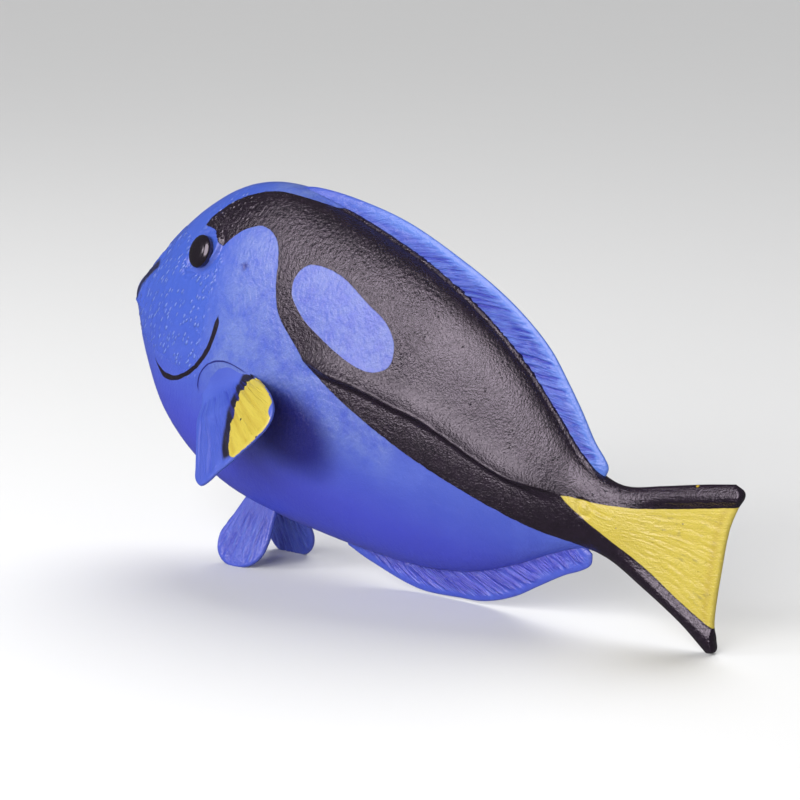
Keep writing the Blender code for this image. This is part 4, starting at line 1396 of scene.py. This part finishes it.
def make_lights(studio):
    """A key from the head's side, a broad light for the flank's sheen, glints, and a pale sky."""
    plans = (("key_light", KEY_LIGHT, studio.key), ("fill_light", FILL_LIGHT, studio.fill),
             ("eye_light", EYE_LIGHT, EYE_LIGHT_SHARE * studio.spark),
             ("back_spark", BACK_SPARK, studio.spark), ("sheen_light", SHEEN_LIGHT, studio.sheen))
    for name, (azimuth, elevation, size, reflected), energy in plans:
        data = make_light(name, "AREA", azimuth, elevation, energy, reflected)
        data.shape = "DISK"
        data.size = size
    azimuth, elevation, spread = BACK_LIGHT
    make_light("back_light", "SUN", azimuth, elevation, studio.sun, False).angle = math.radians(spread)
    world = bpy.data.worlds.new("studio_sky")
    world.use_nodes = True
    background = world.node_tree.nodes["Background"]
    background.inputs["Color"].default_value = (1.0, 1.0, 1.0, 1.0)
    background.inputs["Strength"].default_value = studio.sky
    bpy.context.scene.world = world
    bpy.context.scene.view_settings.view_transform = "Standard"


def make_camera(studio):
    """The camera at the photograph's place and angle."""
    data = bpy.data.cameras.new("camera")
    data.lens = studio.lens
    data.sensor_width = 36.0
    data.clip_start = 0.01
    camera = bpy.data.objects.new("camera", data)
    back = towards(studio.azimuth, studio.elevation)
    level = Vector((math.cos(studio.azimuth), math.sin(studio.azimuth), 0.0))
    right = level * math.cos(studio.roll) + back.cross(level) * math.sin(studio.roll)
    turn = Matrix((right, back.cross(right), back)).transposed().to_4x4()
    camera.matrix_world = Matrix.Translation(studio.place) @ turn
    bpy.context.scene.collection.objects.link(camera)
    bpy.context.scene.camera = camera


class TANG_PT_panel(bpy.types.Panel):
    """Lists the pieces and their settings"""
    bl_idname = "TANG_PT_panel"
    bl_label = "Blue tang figurine"
    bl_space_type = "VIEW_3D"
    bl_region_type = "UI"
    bl_category = "Blue tang"

    def draw(self, context):
        for operator in OPERATORS:
            self.layout.operator(operator.bl_idname)
        for group in (settings().sizes, settings().colours, settings().studio):
            box = self.layout.box()
            for name in group.bl_rna.properties.keys():
                if name not in ("rna_type", "name"):
                    box.prop(group, name)


OPERATORS = (TANG_OT_skin, TANG_OT_midline_fins, TANG_OT_side_fins, TANG_OT_eyes, TANG_OT_studio)
CLASSES = (TangSizes, TangColours, TangStudio, TangSettings, *OPERATORS, TANG_PT_panel)


def register():
    """Register every class and the scene's settings."""
    for item in CLASSES:
        bpy.utils.register_class(item)
    bpy.types.Scene.tang_settings = PointerProperty(type=TangSettings)


def unregister():
    """Undo register."""
    del bpy.types.Scene.tang_settings
    for item in reversed(CLASSES):
        bpy.utils.unregister_class(item)


def main():
    """Make every piece and the studio."""
    register()
    bpy.ops.tang.skin()
    bpy.ops.tang.midline_fins()
    bpy.ops.tang.side_fins()
    bpy.ops.tang.eyes()
    bpy.ops.tang.studio()
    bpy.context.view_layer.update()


if __name__ == "__main__":
    main()
